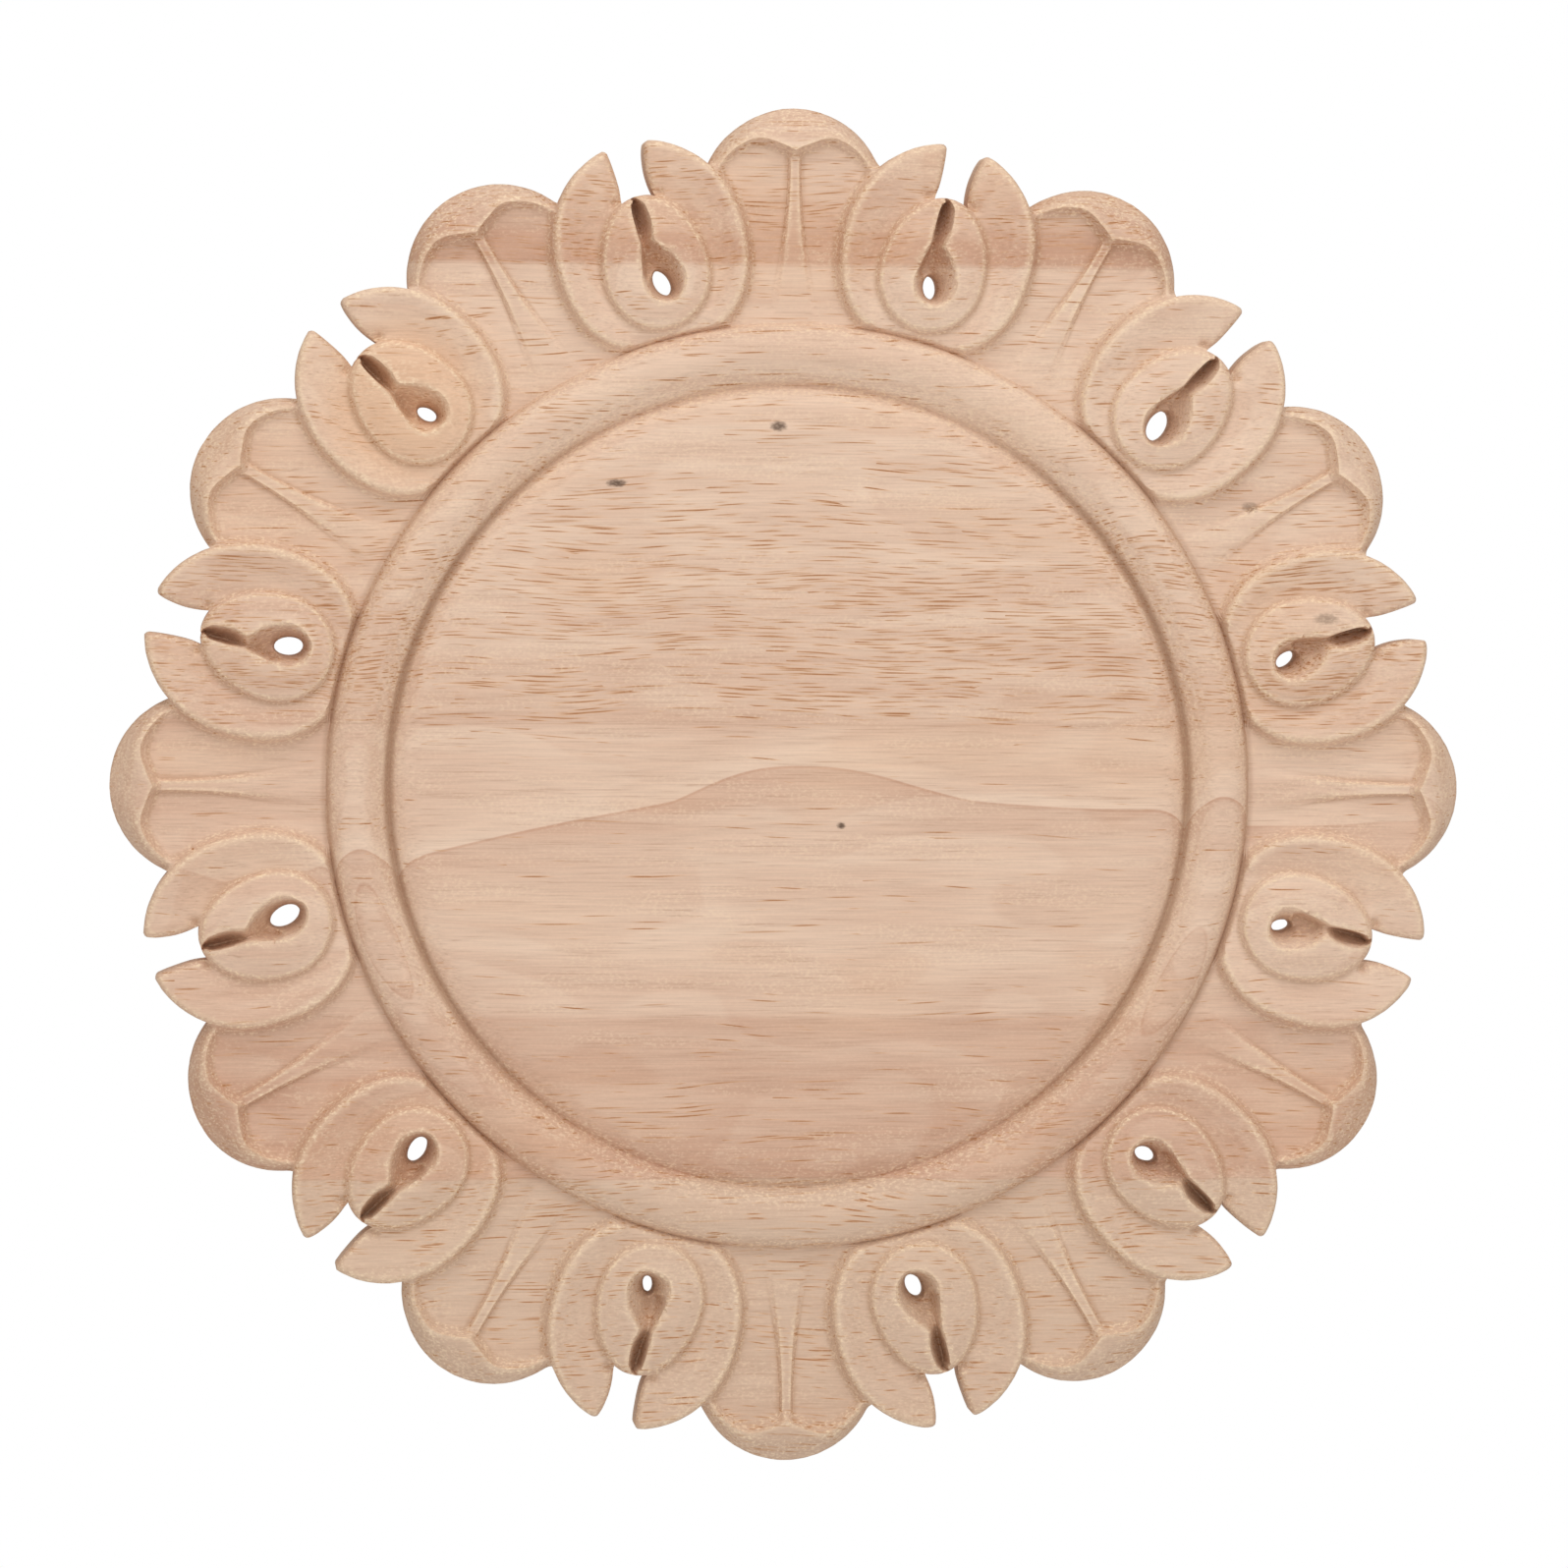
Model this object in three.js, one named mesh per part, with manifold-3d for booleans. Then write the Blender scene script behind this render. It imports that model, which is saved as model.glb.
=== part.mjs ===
// Carved wood applique: a round, flower-like onlay carved from one glued-up board.
// Twelve lobes stand round a turned ring and disc, and a bud between two petals sits
// between each pair of lobes.
// Millimetres. The carving is worked out lying on its back, front towards +z, and is turned
// upright at the end: flat back on the plane y = 0, front towards -y, one lobe at the top.
import * as THREE from 'three';
import { mergeVertices } from 'three/addons/utils/BufferGeometryUtils.js';
import Module from 'manifold-3d';

const wasm = await Module();
wasm.setup();

// Driving dimensions
const OVERALL_RADIUS = 150;
const LOBE_COUNT = 12;
const SECTOR_ANGLE = (2 * Math.PI) / LOBE_COUNT;
const ABOVE_FRONT = 20;
const BELOW_BACK = -3;

// Turned centre: a disc with a rounded edge, a groove, a half-round ring and a second groove
const DISC_HEIGHT = 9.4;
const DISC_FLAT_RADIUS = 81.5;
const DISC_EDGE_RADIUS = 88.0;
const DISC_EDGE_DROP = 1.9;
const INNER_GROOVE = [88.8, 6.6];
const RING_INNER_RADIUS = 89.6;
const RING_CREST_RADIUS = 96.2;
const RING_OUTER_RADIUS = 101.9;
const RING_HEIGHT = 11.3;
const RING_SIDE_DROP = 1.9;
const OUTER_GROOVE = [102.6, 5.8];
const OUTER_GROOVE_EDGE = 103.2;
const GROUND_RADIUS = 131;
const GROUND_HEIGHT = 6.3;
const DISC_ROUNDING_STEPS = 2;
const RING_ROUNDING_STEPS = 3;
const TURNING_STEPS = 48;

// Lobe: a round end with a sloping rim band, and a sunk panel with a vein on it
const LOBE_RADIUS = 20.4;
const LOBE_CENTRE = OVERALL_RADIUS - LOBE_RADIUS;
const LOBE_GROUND_RADIUS = 19.9;
const LOBE_GROUND_HEIGHT = 6.0;
const RIM_HEIGHT = 6.0;
const BAND_HALF_ANGLE = THREE.MathUtils.degToRad(76);
const BAND_STEPS = 10;
// Width of the band and height of its inner edge, from the middle of the lobe to its end
const BAND_WIDTHS = [9.4, 7.4, 4.5, 3.2, 2.4, 1.8];
const BAND_CREST_HEIGHTS = [11.7, 11.6, 11.2, 10.6, 9.8, 8.8];
// Lines along the band: share of its width, share of its fall to the outline
const BAND_LINES = [
  [0, 0],
  [0.5, 0.3],
  [1, 1],
];
// Panel by rows from under the ring outward: radius, half width, height, vein's half width
// and vein's height
const PANEL_ROWS = [
  [100.0, 19.5, 6.9, 6.8, 0.1],
  [111.0, 12.6, 6.9, 4.2, 0.9],
  [122.0, 11.9, 7.1, 2.2, 1.6],
  [133.0, 16.8, 7.8, 1.2, 1.8],
  [139.3, 15.8, 8.0, 1.0, 1.8],
  [144.0, 9.5, 8.8, 1.0, 0.8],
];
const PANEL_SIDE_RISE = 0.4;
const VEIN_TOP_SHARE = 0.35;

// Petals: a pair that forms one cupped oval round the bud, open at the outer end
const CUP_CENTRE = 124.0;
const CUP = { halfWidth: 21.2, outward: 22.8, inward: 23.5, inwardSquareness: 2.4 };
const PETAL_TIP_ANGLE = THREE.MathUtils.degToRad(13);
const PETAL_END_ANGLE = THREE.MathUtils.degToRad(180);
const PETAL_STEPS = 8;
const PETAL_EDGE_HEIGHTS = [9.8, 11.1, 11.5, 11.4, 11.2, 10.7, 9.8, 9.0];
const PETAL_FOOT_HEIGHTS = [9.4, 9.5, 8.8, 8.4, 8.3, 8.3, 8.2, 8.1];
const PETAL_TIP_BLUNTNESS = 0.35;
const PETAL_BEVEL = 1.2;
const PETAL_BEVEL_DROP = 1.0;
// Inner side of a petal, from its tip down the gap and then under the bud
const PETAL_INNER_SIDE = [
  [3.6, 145.2],
  [3.3, 141.0],
  [3.4, 137.5],
  [3.9, 132.5],
  [6.8, 126.0],
  [8.0, 118.0],
  [6.8, 111.5],
  [3.6, 108.0],
  [0.0, 107.0],
];

// Bud: an egg with a bevelled edge and a low dome
const BUD_CENTRE = [0, 117.4];
const BUD = { halfWidth: 12.0, outward: 17.4, inward: 12.7, inwardSquareness: 2 };
const BUD_STEPS = 16;
// Levels of the bud: height, share of its outline
const BUD_LEVELS = [
  [BELOW_BACK, 1],
  [10.1, 1],
  [11.3, 0.92],
  [12.6, 0.55],
];

// Opening in the bud: a basin that narrows to a hole, and a slit that runs outward from it
const BASIN_CENTRE = [1.1, 115.7];
const BASIN = { halfWidth: 4.5, outward: 5.6, inward: 4.8, inwardSquareness: 2 };
const HOLE_CENTRE = [0.9, 114.9];
const HOLE = { halfWidth: 1.9, outward: 3.2, inward: 3.1, inwardSquareness: 2 };
const BASIN_STEPS = 8;
// Levels of the opening: height, and how far it has opened from the hole to the basin
const BASIN_LEVELS = [
  [2 * BELOW_BACK, 0],
  [4.0, 0],
  [12.4, 1],
  [ABOVE_FRONT, 1],
];
// Slit from the basin outward: middle line, half width, height of its floor
const SLIT_ROWS = [
  [0.8, 118.4, 3.8, 6.6],
  [-0.3, 121.6, 2.1, 7.6],
  [-0.8, 124.4, 0.95, 8.0],
  [-0.2, 127.2, 1.3, 6.6],
  [-0.2, 130.2, 1.35, 5.6],
  [-0.8, 133.0, 0.9, 5.4],
];

const bareWood = new THREE.MeshStandardMaterial({
  name: 'bare_wood',
  color: 0xd7b498,
  roughness: 0.62,
  metalness: 0,
  flatShading: true,
});

// Value at a share of the length of an evenly spaced list, on a smooth curve through it
function along(values, share) {
  const points = values.map((value, index) => new THREE.Vector2(index, value));
  return new THREE.SplineCurve(points).getPoint(share).y;
}

function signedVolume(positions, triangles) {
  const [a, b, c] = [new THREE.Vector3(), new THREE.Vector3(), new THREE.Vector3()];
  let volume = 0;
  for (let i = 0; i < triangles.length; i += 3) {
    a.fromArray(positions, triangles[i] * 3);
    b.fromArray(positions, triangles[i + 1] * 3);
    c.fromArray(positions, triangles[i + 2] * 3);
    volume += a.dot(b.cross(c)) / 6;
  }
  return volume;
}

// A closed geometry as a solid for joining and cutting, with mirrored shapes turned outward
function solid(geometry) {
  geometry.deleteAttribute('normal');
  geometry.deleteAttribute('uv');
  const merged = mergeVertices(geometry, 1e-4);
  const vertProperties = Float32Array.from(merged.attributes.position.array);
  const corners = Array.from(merged.index.array);
  const triangles = [];
  for (let i = 0; i < corners.length; i += 3) {
    const [a, b, c] = corners.slice(i, i + 3);
    if (a !== b && b !== c && c !== a) triangles.push(a, b, c);
  }
  if (signedVolume(vertProperties, triangles) < 0) triangles.reverse();
  const triVerts = Uint32Array.from(triangles);
  return new wasm.Manifold(new wasm.Mesh({ numProp: 3, vertProperties, triVerts }));
}

// A block whose plan, top and floor follow place(column, row), both counted from 0
function reliefBlock(columns, rows, place) {
  const geometry = new THREE.BoxGeometry(1, 1, 1, columns, rows, 1);
  const points = geometry.attributes.position;
  for (let i = 0; i < points.count; i += 1) {
    const column = Math.round((points.getX(i) + 0.5) * columns);
    const row = Math.round((points.getY(i) + 0.5) * rows);
    const spot = place(column, row);
    points.setXYZ(i, spot.u, spot.v, points.getZ(i) > 0 ? spot.top : spot.floor ?? BELOW_BACK);
  }
  return geometry;
}

// Distance from an oval's centre to its outline, at an angle from the outward direction
function ovalRadius(oval, angle) {
  const outward = Math.cos(angle) > 0;
  const squareness = outward ? 2 : oval.inwardSquareness;
  const across = (Math.abs(Math.sin(angle)) / oval.halfWidth) ** squareness;
  const length = outward ? oval.outward : oval.inward;
  const lengthwise = (Math.abs(Math.cos(angle)) / length) ** squareness;
  return (across + lengthwise) ** (-1 / squareness);
}

// A stack of outlines, one for each level: place(level, angle, share) gives a point's plan
function stackedOutlines(levels, steps, place) {
  const last = levels.length - 1;
  const geometry = new THREE.CylinderGeometry(1, 1, 1, steps, last, false, Math.PI / steps);
  const points = geometry.attributes.position;
  for (let i = 0; i < points.count; i += 1) {
    const level = levels[Math.round((points.getY(i) + 0.5) * last)];
    const angle = Math.atan2(points.getX(i), points.getZ(i));
    const share = Math.hypot(points.getX(i), points.getZ(i));
    const [u, v] = place(level, angle, share);
    points.setXYZ(i, u, v, level[0]);
  }
  return geometry;
}

// Profile points from a crest down a rounded side, which gets steeper as it falls
function roundedSide(crestRadius, sideRadius, height, drop, steps) {
  const points = [];
  for (let step = 0; step <= steps; step += 1) {
    const share = step / steps;
    points.push([crestRadius + (sideRadius - crestRadius) * share, height - drop * share ** 2]);
  }
  return points;
}

// Turned centre, with the ground that the lobes and buds stand on
function turnedCentre() {
  const ringOutside = roundedSide(
    RING_CREST_RADIUS, RING_OUTER_RADIUS, RING_HEIGHT, RING_SIDE_DROP, RING_ROUNDING_STEPS);
  const ringInside = roundedSide(
    RING_CREST_RADIUS, RING_INNER_RADIUS, RING_HEIGHT, RING_SIDE_DROP, RING_ROUNDING_STEPS);
  const discEdge = roundedSide(
    DISC_FLAT_RADIUS, DISC_EDGE_RADIUS, DISC_HEIGHT, DISC_EDGE_DROP, DISC_ROUNDING_STEPS);
  const profile = [
    [0, BELOW_BACK],
    [GROUND_RADIUS, BELOW_BACK],
    [GROUND_RADIUS, GROUND_HEIGHT],
    [OUTER_GROOVE_EDGE, GROUND_HEIGHT],
    OUTER_GROOVE,
    ...ringOutside.reverse(),
    ...ringInside.slice(1),
    INNER_GROOVE,
    ...discEdge.reverse(),
    [0, DISC_HEIGHT],
  ];
  const outline = profile.map(([radius, height]) => new THREE.Vector2(radius, height));
  const geometry = new THREE.LatheGeometry(outline, TURNING_STEPS);
  return geometry.rotateX(Math.PI / 2).rotateZ(Math.PI / TURNING_STEPS);
}

// Room for the turned centre, taken out of the buds, petals and lobes
function centreClearance() {
  const height = ABOVE_FRONT - GROUND_HEIGHT / 2;
  const geometry = new THREE.CylinderGeometry(
    OUTER_GROOVE_EDGE, OUTER_GROOVE_EDGE, height, TURNING_STEPS);
  geometry.rotateX(Math.PI / 2).rotateZ(Math.PI / TURNING_STEPS);
  return geometry.translate(0, 0, GROUND_HEIGHT / 2 + height / 2);
}

function lobeGround() {
  const height = LOBE_GROUND_HEIGHT - BELOW_BACK;
  const geometry = new THREE.CylinderGeometry(
    LOBE_GROUND_RADIUS, LOBE_GROUND_RADIUS, height, 2 * BAND_STEPS);
  return geometry.rotateX(Math.PI / 2).translate(0, LOBE_CENTRE, BELOW_BACK + height / 2);
}

// Everything below the back plane, cut away to leave one flat back
function underside() {
  const geometry = new THREE.BoxGeometry(3 * OVERALL_RADIUS, 3 * OVERALL_RADIUS, -2 * BELOW_BACK);
  return geometry.translate(0, 0, BELOW_BACK);
}

// Rim band of a lobe: high along its waved inner edge, falling to the outline
function rimBand() {
  return reliefBlock(BAND_STEPS, BAND_LINES.length - 1, (column, row) => {
    const [place, fall] = BAND_LINES[row];
    const turn = (column / BAND_STEPS) * 2 - 1;
    const angle = turn * BAND_HALF_ANGLE;
    const radius = LOBE_RADIUS - along(BAND_WIDTHS, Math.abs(turn)) * (1 - place);
    const crest = along(BAND_CREST_HEIGHTS, Math.abs(turn));
    const top = crest + (RIM_HEIGHT - crest) * fall;
    return { u: radius * Math.sin(angle), v: LOBE_CENTRE + radius * Math.cos(angle), top };
  });
}

// Sunk panel of a lobe: a shallow trough on each side of the vein
function lobePanel() {
  const columns = 7;
  return reliefBlock(columns, PANEL_ROWS.length - 1, (column, row) => {
    const [radius, halfWidth, height, veinHalfWidth, vein] = PANEL_ROWS[row];
    const across = [
      [halfWidth, PANEL_SIDE_RISE],
      [(halfWidth + veinHalfWidth) / 2, 0],
      [veinHalfWidth, 0.1],
      [veinHalfWidth * VEIN_TOP_SHARE, vein],
    ];
    const side = column < columns / 2 ? -1 : 1;
    const [offset, rise] = across[Math.min(column, columns - column)];
    return { u: side * offset, v: radius, top: height + rise };
  });
}

// One petal of a pair: side is -1 for the left one and 1 for the right one
function petal(side) {
  const inner = new THREE.SplineCurve(
    PETAL_INNER_SIDE.map(([u, v]) => new THREE.Vector2(u, v)));
  return reliefBlock(2, PETAL_STEPS, (column, row) => {
    const share = row / PETAL_STEPS;
    const angle = PETAL_TIP_ANGLE + (PETAL_END_ANGLE - PETAL_TIP_ANGLE) * share;
    const reach = ovalRadius(CUP, angle);
    const edge = new THREE.Vector2(reach * Math.sin(angle), CUP_CENTRE + reach * Math.cos(angle));
    const foot = inner.getPoint(share);
    const bevel = Math.min(PETAL_BEVEL / edge.distanceTo(foot), 0.5);
    const edgeHeight = along(PETAL_EDGE_HEIGHTS, share);
    const across = [
      [0, along(PETAL_FOOT_HEIGHTS, share)],
      [1 - bevel, edgeHeight],
      [1, edgeHeight - PETAL_BEVEL_DROP],
    ];
    const [place, top] = across[column];
    const plan = foot.clone().lerp(edge, place);
    const bluntness = row === 0 && column === 1 ? PETAL_TIP_BLUNTNESS : 0;
    return { u: side * plan.x, v: plan.y + bluntness, top };
  });
}

function bud() {
  return stackedOutlines(BUD_LEVELS, BUD_STEPS, ([, size], angle, share) => {
    const reach = share * size * ovalRadius(BUD, angle);
    return [BUD_CENTRE[0] + reach * Math.sin(angle), BUD_CENTRE[1] + reach * Math.cos(angle)];
  });
}

function basin() {
  return stackedOutlines(BASIN_LEVELS, BASIN_STEPS, ([, opening], angle, share) => {
    const { lerp } = THREE.MathUtils;
    const reach = share * lerp(ovalRadius(HOLE, angle), ovalRadius(BASIN, angle), opening);
    return [
      lerp(HOLE_CENTRE[0], BASIN_CENTRE[0], opening) + reach * Math.sin(angle),
      lerp(HOLE_CENTRE[1], BASIN_CENTRE[1], opening) + reach * Math.cos(angle),
    ];
  });
}

function slit() {
  return reliefBlock(1, SLIT_ROWS.length - 1, (column, row) => {
    const [middle, v, halfWidth, floor] = SLIT_ROWS[row];
    return { u: middle + (column === 0 ? -halfWidth : halfWidth), v, top: ABOVE_FRONT, floor };
  });
}

function carving() {
  const raised = [];
  const openings = [];
  const place = (list, geometry, turns) => {
    list.push(solid(geometry.rotateZ(-turns * SECTOR_ANGLE)));
  };
  for (let index = 0; index < LOBE_COUNT; index += 1) {
    [lobeGround(), rimBand(), lobePanel()].forEach((shape) => place(raised, shape, index));
    [petal(-1), petal(1), bud()].forEach((shape) => place(raised, shape, index + 0.5));
    [basin(), slit()].forEach((shape) => place(openings, shape, index + 0.5));
  }
  const flower = wasm.Manifold.union(raised).subtract(solid(centreClearance()));
  const whole = flower.add(solid(turnedCentre())).subtract(wasm.Manifold.union(openings));
  return whole.subtract(solid(underside()));
}

function geometryOf(shape) {
  const { vertProperties, triVerts } = shape.getMesh();
  const geometry = new THREE.BufferGeometry();
  geometry.setAttribute('position', new THREE.BufferAttribute(vertProperties, 3));
  geometry.setIndex(new THREE.BufferAttribute(triVerts, 1));
  geometry.computeVertexNormals();
  return geometry;
}

const applique = new THREE.Mesh(geometryOf(carving()), bareWood);
applique.name = 'applique';

const group = new THREE.Group();
group.add(applique);
group.rotation.x = Math.PI / 2;

export default group;
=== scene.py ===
"""The carved wood applique in its finished look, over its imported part.

A round rosette, upright as on a wall: front to -Y, flat back on the plane y = 0. A plain disc and
a rounded ring lie in the middle. Twelve shell lobes stand round them, and between the lobes stand
twelve buds, each in a cup of two petals. One carved twelfth is modelled and repeated.
"""

import math

import bpy
import numpy as np
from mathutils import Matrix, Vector, noise
from mathutils.geometry import delaunay_2d_cdt


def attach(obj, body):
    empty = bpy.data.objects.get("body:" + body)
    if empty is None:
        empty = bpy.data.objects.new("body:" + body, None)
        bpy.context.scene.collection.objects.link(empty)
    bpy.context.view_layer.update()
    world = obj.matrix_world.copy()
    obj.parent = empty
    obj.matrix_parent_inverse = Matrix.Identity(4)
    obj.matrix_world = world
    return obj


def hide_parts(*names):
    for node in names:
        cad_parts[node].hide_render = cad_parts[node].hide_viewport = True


bl_info = {
    "name": "Carved Wood Applique",
    "version": (1, 0, 0),
    "blender": (4, 5, 0),
    "location": "View3D > Sidebar > Applique",
    "description": "Builds a carved wood rosette and its plain studio",
    "category": "Object",
}

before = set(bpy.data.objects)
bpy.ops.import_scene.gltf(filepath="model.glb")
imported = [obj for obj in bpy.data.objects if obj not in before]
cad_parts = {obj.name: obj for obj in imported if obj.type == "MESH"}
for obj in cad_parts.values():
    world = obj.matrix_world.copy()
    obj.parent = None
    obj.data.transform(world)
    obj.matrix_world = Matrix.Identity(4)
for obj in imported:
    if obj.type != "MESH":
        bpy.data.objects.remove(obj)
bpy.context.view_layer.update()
MM = 0.001

# The plan is drawn in millimetres on u and v, with v away from the rosette's middle through a bud.
# Heights are millimetres above the flat back.
REPEATS = 12
HALF_SECTOR = math.pi / REPEATS
TOP_HEIGHT = 12.58
SEAM_DISTANCE = 0.002 * MM

# The disc, the ring and the grooves beside them: radius and height
TURNED_PROFILE = (
    (0.0, 9.4), (40.0, 9.4), (70.0, 9.4), (78.0, 9.4), (81.5, 9.4), (82.8, 9.32), (84.1, 9.12),
    (85.4, 8.78), (86.6, 8.3), (87.4, 7.86), (88.0, 7.42), (88.45, 7.0), (88.8, 6.75),
    (89.1, 7.0), (89.45, 7.65), (89.9, 8.3), (90.5, 8.86), (91.3, 9.4), (92.2, 9.92),
    (93.1, 10.4), (94.0, 10.8), (94.9, 11.1), (95.8, 11.26), (96.6, 11.3), (97.6, 11.22),
    (98.6, 11.0), (99.6, 10.66), (100.4, 10.26), (101.1, 9.8), (101.6, 9.32), (102.0, 8.76),
    (102.3, 8.1), (102.6, 7.3),
)
DISC_STEPS = 3
GROOVE_RADIUS = 102.6
GROOVE_HEIGHT = 7.3
GROOVE_BANK = 1.7
BANK_RADII = (GROOVE_RADIUS + 0.35, GROOVE_RADIUS + 0.9)
TURNED_STEPS = 20

# A lobe: its round rim, and along the radius its ground and the vein that runs up it
LOBE_CENTRE = 129.6
LOBE_RADIUS = 20.4
RIM_HEIGHT = 6.0
BAND_HALF_ANGLE = math.radians(76)
BAND_WIDTHS = (9.4, 7.4, 4.5, 3.2, 2.4, 1.8)
BAND_HEIGHTS = (11.7, 11.6, 11.2, 10.6, 9.8, 8.8)
BAND_FALL = 1.74
BAND_COVE = 2.6
GROUND_RADII = (100, 111, 122, 133, 139.3, 144)
GROUND_HEIGHTS = (6.9, 6.9, 7.1, 7.8, 8.0, 8.4)
GROUND_HALF_WIDTHS = (19.5, 12.6, 11.9, 16.8, 15.8, 9.5)
GROUND_SIDE_RISE = 0.4
VEIN_HALF_WIDTHS = (6.8, 4.3, 2.6, 1.6, 1.5, 1.5)
VEIN_HEIGHTS = (0.2, 0.65, 1.0, 1.2, 1.2, 1.0)
VEIN_TOP_SHARE = 0.6

# The two petals of a bud share one oval outline, open at the gap between their tips
CUP_CENTRE = (0.0, 124.0)
CUP = {"half_width": 21.2, "outward": 22.8, "inward": 23.5, "squareness": 2.4}
PETAL_ANGLES = (0, 37, 61, 85, 108, 132, 156, 180)
PETAL_HEIGHTS = (9.8, 11.1, 11.5, 11.4, 11.2, 10.7, 9.8, 9.0)
PETAL_FALLS = (0.7, 1.7, 2.5, 2.7, 2.6, 2.3, 1.7, 1.2)
PETAL_FALL_WIDTH = 9.0
PETAL_BEVEL = 1.3
PETAL_BEVEL_DROP = 1.0
PETAL_FOOT = 2.0
FOOT_CURVE = 2.2
GAP_BEVEL = 1.4
GAP_BEVEL_DROP = 0.9
GAP_SIDES = {
    -1: ((-4.95, 146.17), (-4.3, 145.75), (-3.95, 144.4), (-3.65, 142.0), (-3.45, 139.5),
         (-3.4, 137.0), (-3.75, 133.92)),
    1: ((5.55, 146.0), (4.75, 145.8), (4.1, 144.5), (3.55, 142.0), (3.3, 139.5),
        (3.4, 137.0), (3.9, 133.87)),
}
GAP_POCKET = {"across": 5.0, "along": 134.4, "radius": 1.9, "depth": 1.3}

# The bud, and the opening cut through it: a round basin with a hole, and a slit up to the gap
BUD_CENTRE = (0.0, 117.4)
BUD = {"half_width": 12.0, "outward": 17.4, "inward": 12.7, "squareness": 2.0}
BUD_EDGE_HEIGHT = 9.8
BUD_SHOULDER_HEIGHT = 11.3
BUD_SHOULDER = 0.88
BUD_FOOT = 1.7
BASIN_CENTRE = (1.1, 115.7)
BASIN = {"half_width": 4.5, "outward": 5.6, "inward": 4.8, "squareness": 2.0}
HOLE_CENTRE = (0.95, 114.9)
HOLE = {"half_width": 1.7, "outward": 2.75, "inward": 2.5, "squareness": 2.0}
HOLE_FLOOR = 4.6
BOWL_CURVE = 1.25
BOWL_RIM_SLOPE = 20.0
SLIT_RADII = (115.0, 117.5, 119.5, 121.3, 122.8, 124.3, 125.8, 127.5, 129.5, 131.5, 133.0, 133.9)
LEFT_LIPS = (-3.35, -3.3, -3.1, -2.75, -2.35, -2.0, -2.05, -2.2, -2.25, -2.2, -1.9, -1.2)
RIGHT_LIPS = (5.4, 5.3, 4.6, 3.4, 2.0, 0.8, 0.9, 1.4, 1.5, 1.3, 0.9, 0.1)
SLIT_FLOORS = (5.0, 5.0, 5.8, 7.0, 8.3, 8.8, 7.0, 5.0, 3.8, 3.4, 3.4, 4.2)
SLIT_VALLEY = 0.3
STEEP_WALL = 3.4
SOFT_WALL = 1.6
LIP_ROUNDING = 1.8

# How the slit starts in the basin and ends at the gap, and a height that cuts nothing
SLIT_START = 0.4
SLIT_START_RUN = 3.0
SLIT_START_RISE = 1.6
SLIT_END_RUN = 0.9
UNCUT = 99.0

# Where the surface's lines run: insets from an edge in millimetres, or shares of a width
PETAL_INSETS = (0.0, 0.35, 0.8, PETAL_BEVEL, -0.25, -0.6, -1.0, -PETAL_FOOT)
BUD_INSETS = (0.0, 0.35, 0.7, 1.05, 1.45, -0.3, -0.6, -1.1, -BUD_FOOT)
BASIN_INSETS = (0.0, -0.45)
BASIN_SHARES = (0.12, 0.3, 0.5, 0.7, 0.88)
SLIT_SHARES = (0.0, 1.0, -0.1, 1.13, 0.08, 0.9, 0.2, 0.75, SLIT_VALLEY, 0.57)
GAP_INSETS = (0.35, 0.8, GAP_BEVEL)
COVE_SHARES = (0.75, 0.5, 0.3, 0.13, 0.0)
SCALLOP_INSETS = (0.0, 0.35, 0.8, 1.35, 2.0, BAND_COVE)
BAND_SHARES = (0.15, 0.35, 0.55, 0.72, 0.86, 0.95)
VEIN_SHARES = (1.0, VEIN_TOP_SHARE, 0.72, 1.25)
SLIT_LINE_RADII = (118.0, 133.6)
VEIN_LINE_RADII = (GROOVE_RADIUS + 1.5, LOBE_CENTRE + 9.5)

# Loose points fill the rest, in rows this share of their spacing apart, as far as the plan goes
FILL_ROW_STEP = 0.866
FILL_REACH = (40.0, 150.0)
ON_SEAM = 1e-4
OUTLINE_MARGIN = 0.12

# A ridge is told by its rise over the carving this far around it
RIDGE_REACH = 0.9
RIDGE_RISE = 0.28

# Each bud's own form, clockwise from the first one right of the top: size of its hole, and how
# far the wood between slit and basin stands up
BUD_HABITS = (
    (0.95, 0.2), (1.35, 0.0), (0.9, 0.8), (0.8, 1.0), (0.95, 0.7), (1.05, 0.4),
    (0.72, 0.6), (1.15, 0.5), (1.32, 0.7), (1.2, 0.9), (0.85, 0.8), (1.1, 0.4),
)
HOLE_LEAN = 0.2
HOLE_REACH = (2.3, 1.0)
SADDLE_PLACE = (-0.9, 124.2)
SADDLE_SPREAD = (1.7, 2.0)
SADDLE_LIFT = 3.0
SADDLE_TOP = 12.2
USUAL_SADDLE = 0.6

# Chipped edges: place across and up, reach and depth
CHIPS = (
    (-100.0, 96.5, 4.0, 0.7),
    (-132.0, 32.0, 3.5, 0.5),
)

# Unevenness of the front, the edges and the chips: spacing, depth and seed, coarse and fine
FRONT_WAVES = ((8.0, 0.1, 3.1), (2.4, 0.04, 7.3))
EDGE_WAVES = ((13.0, 0.16, 11.9), (1.6, 0.07, 5.7))
CHIP_WAVES = ((0.9, 1.0, 1.3),)
EDGE_LOSS = 0.08
FRONT_DEPTH = 0.5

# Handwork shows in full this far out, after a short run. The turned middle keeps a share of it.
CARVED_FROM = 103.0
CARVED_RUN = 3.0
TURNED_SHARE = 0.2


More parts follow.
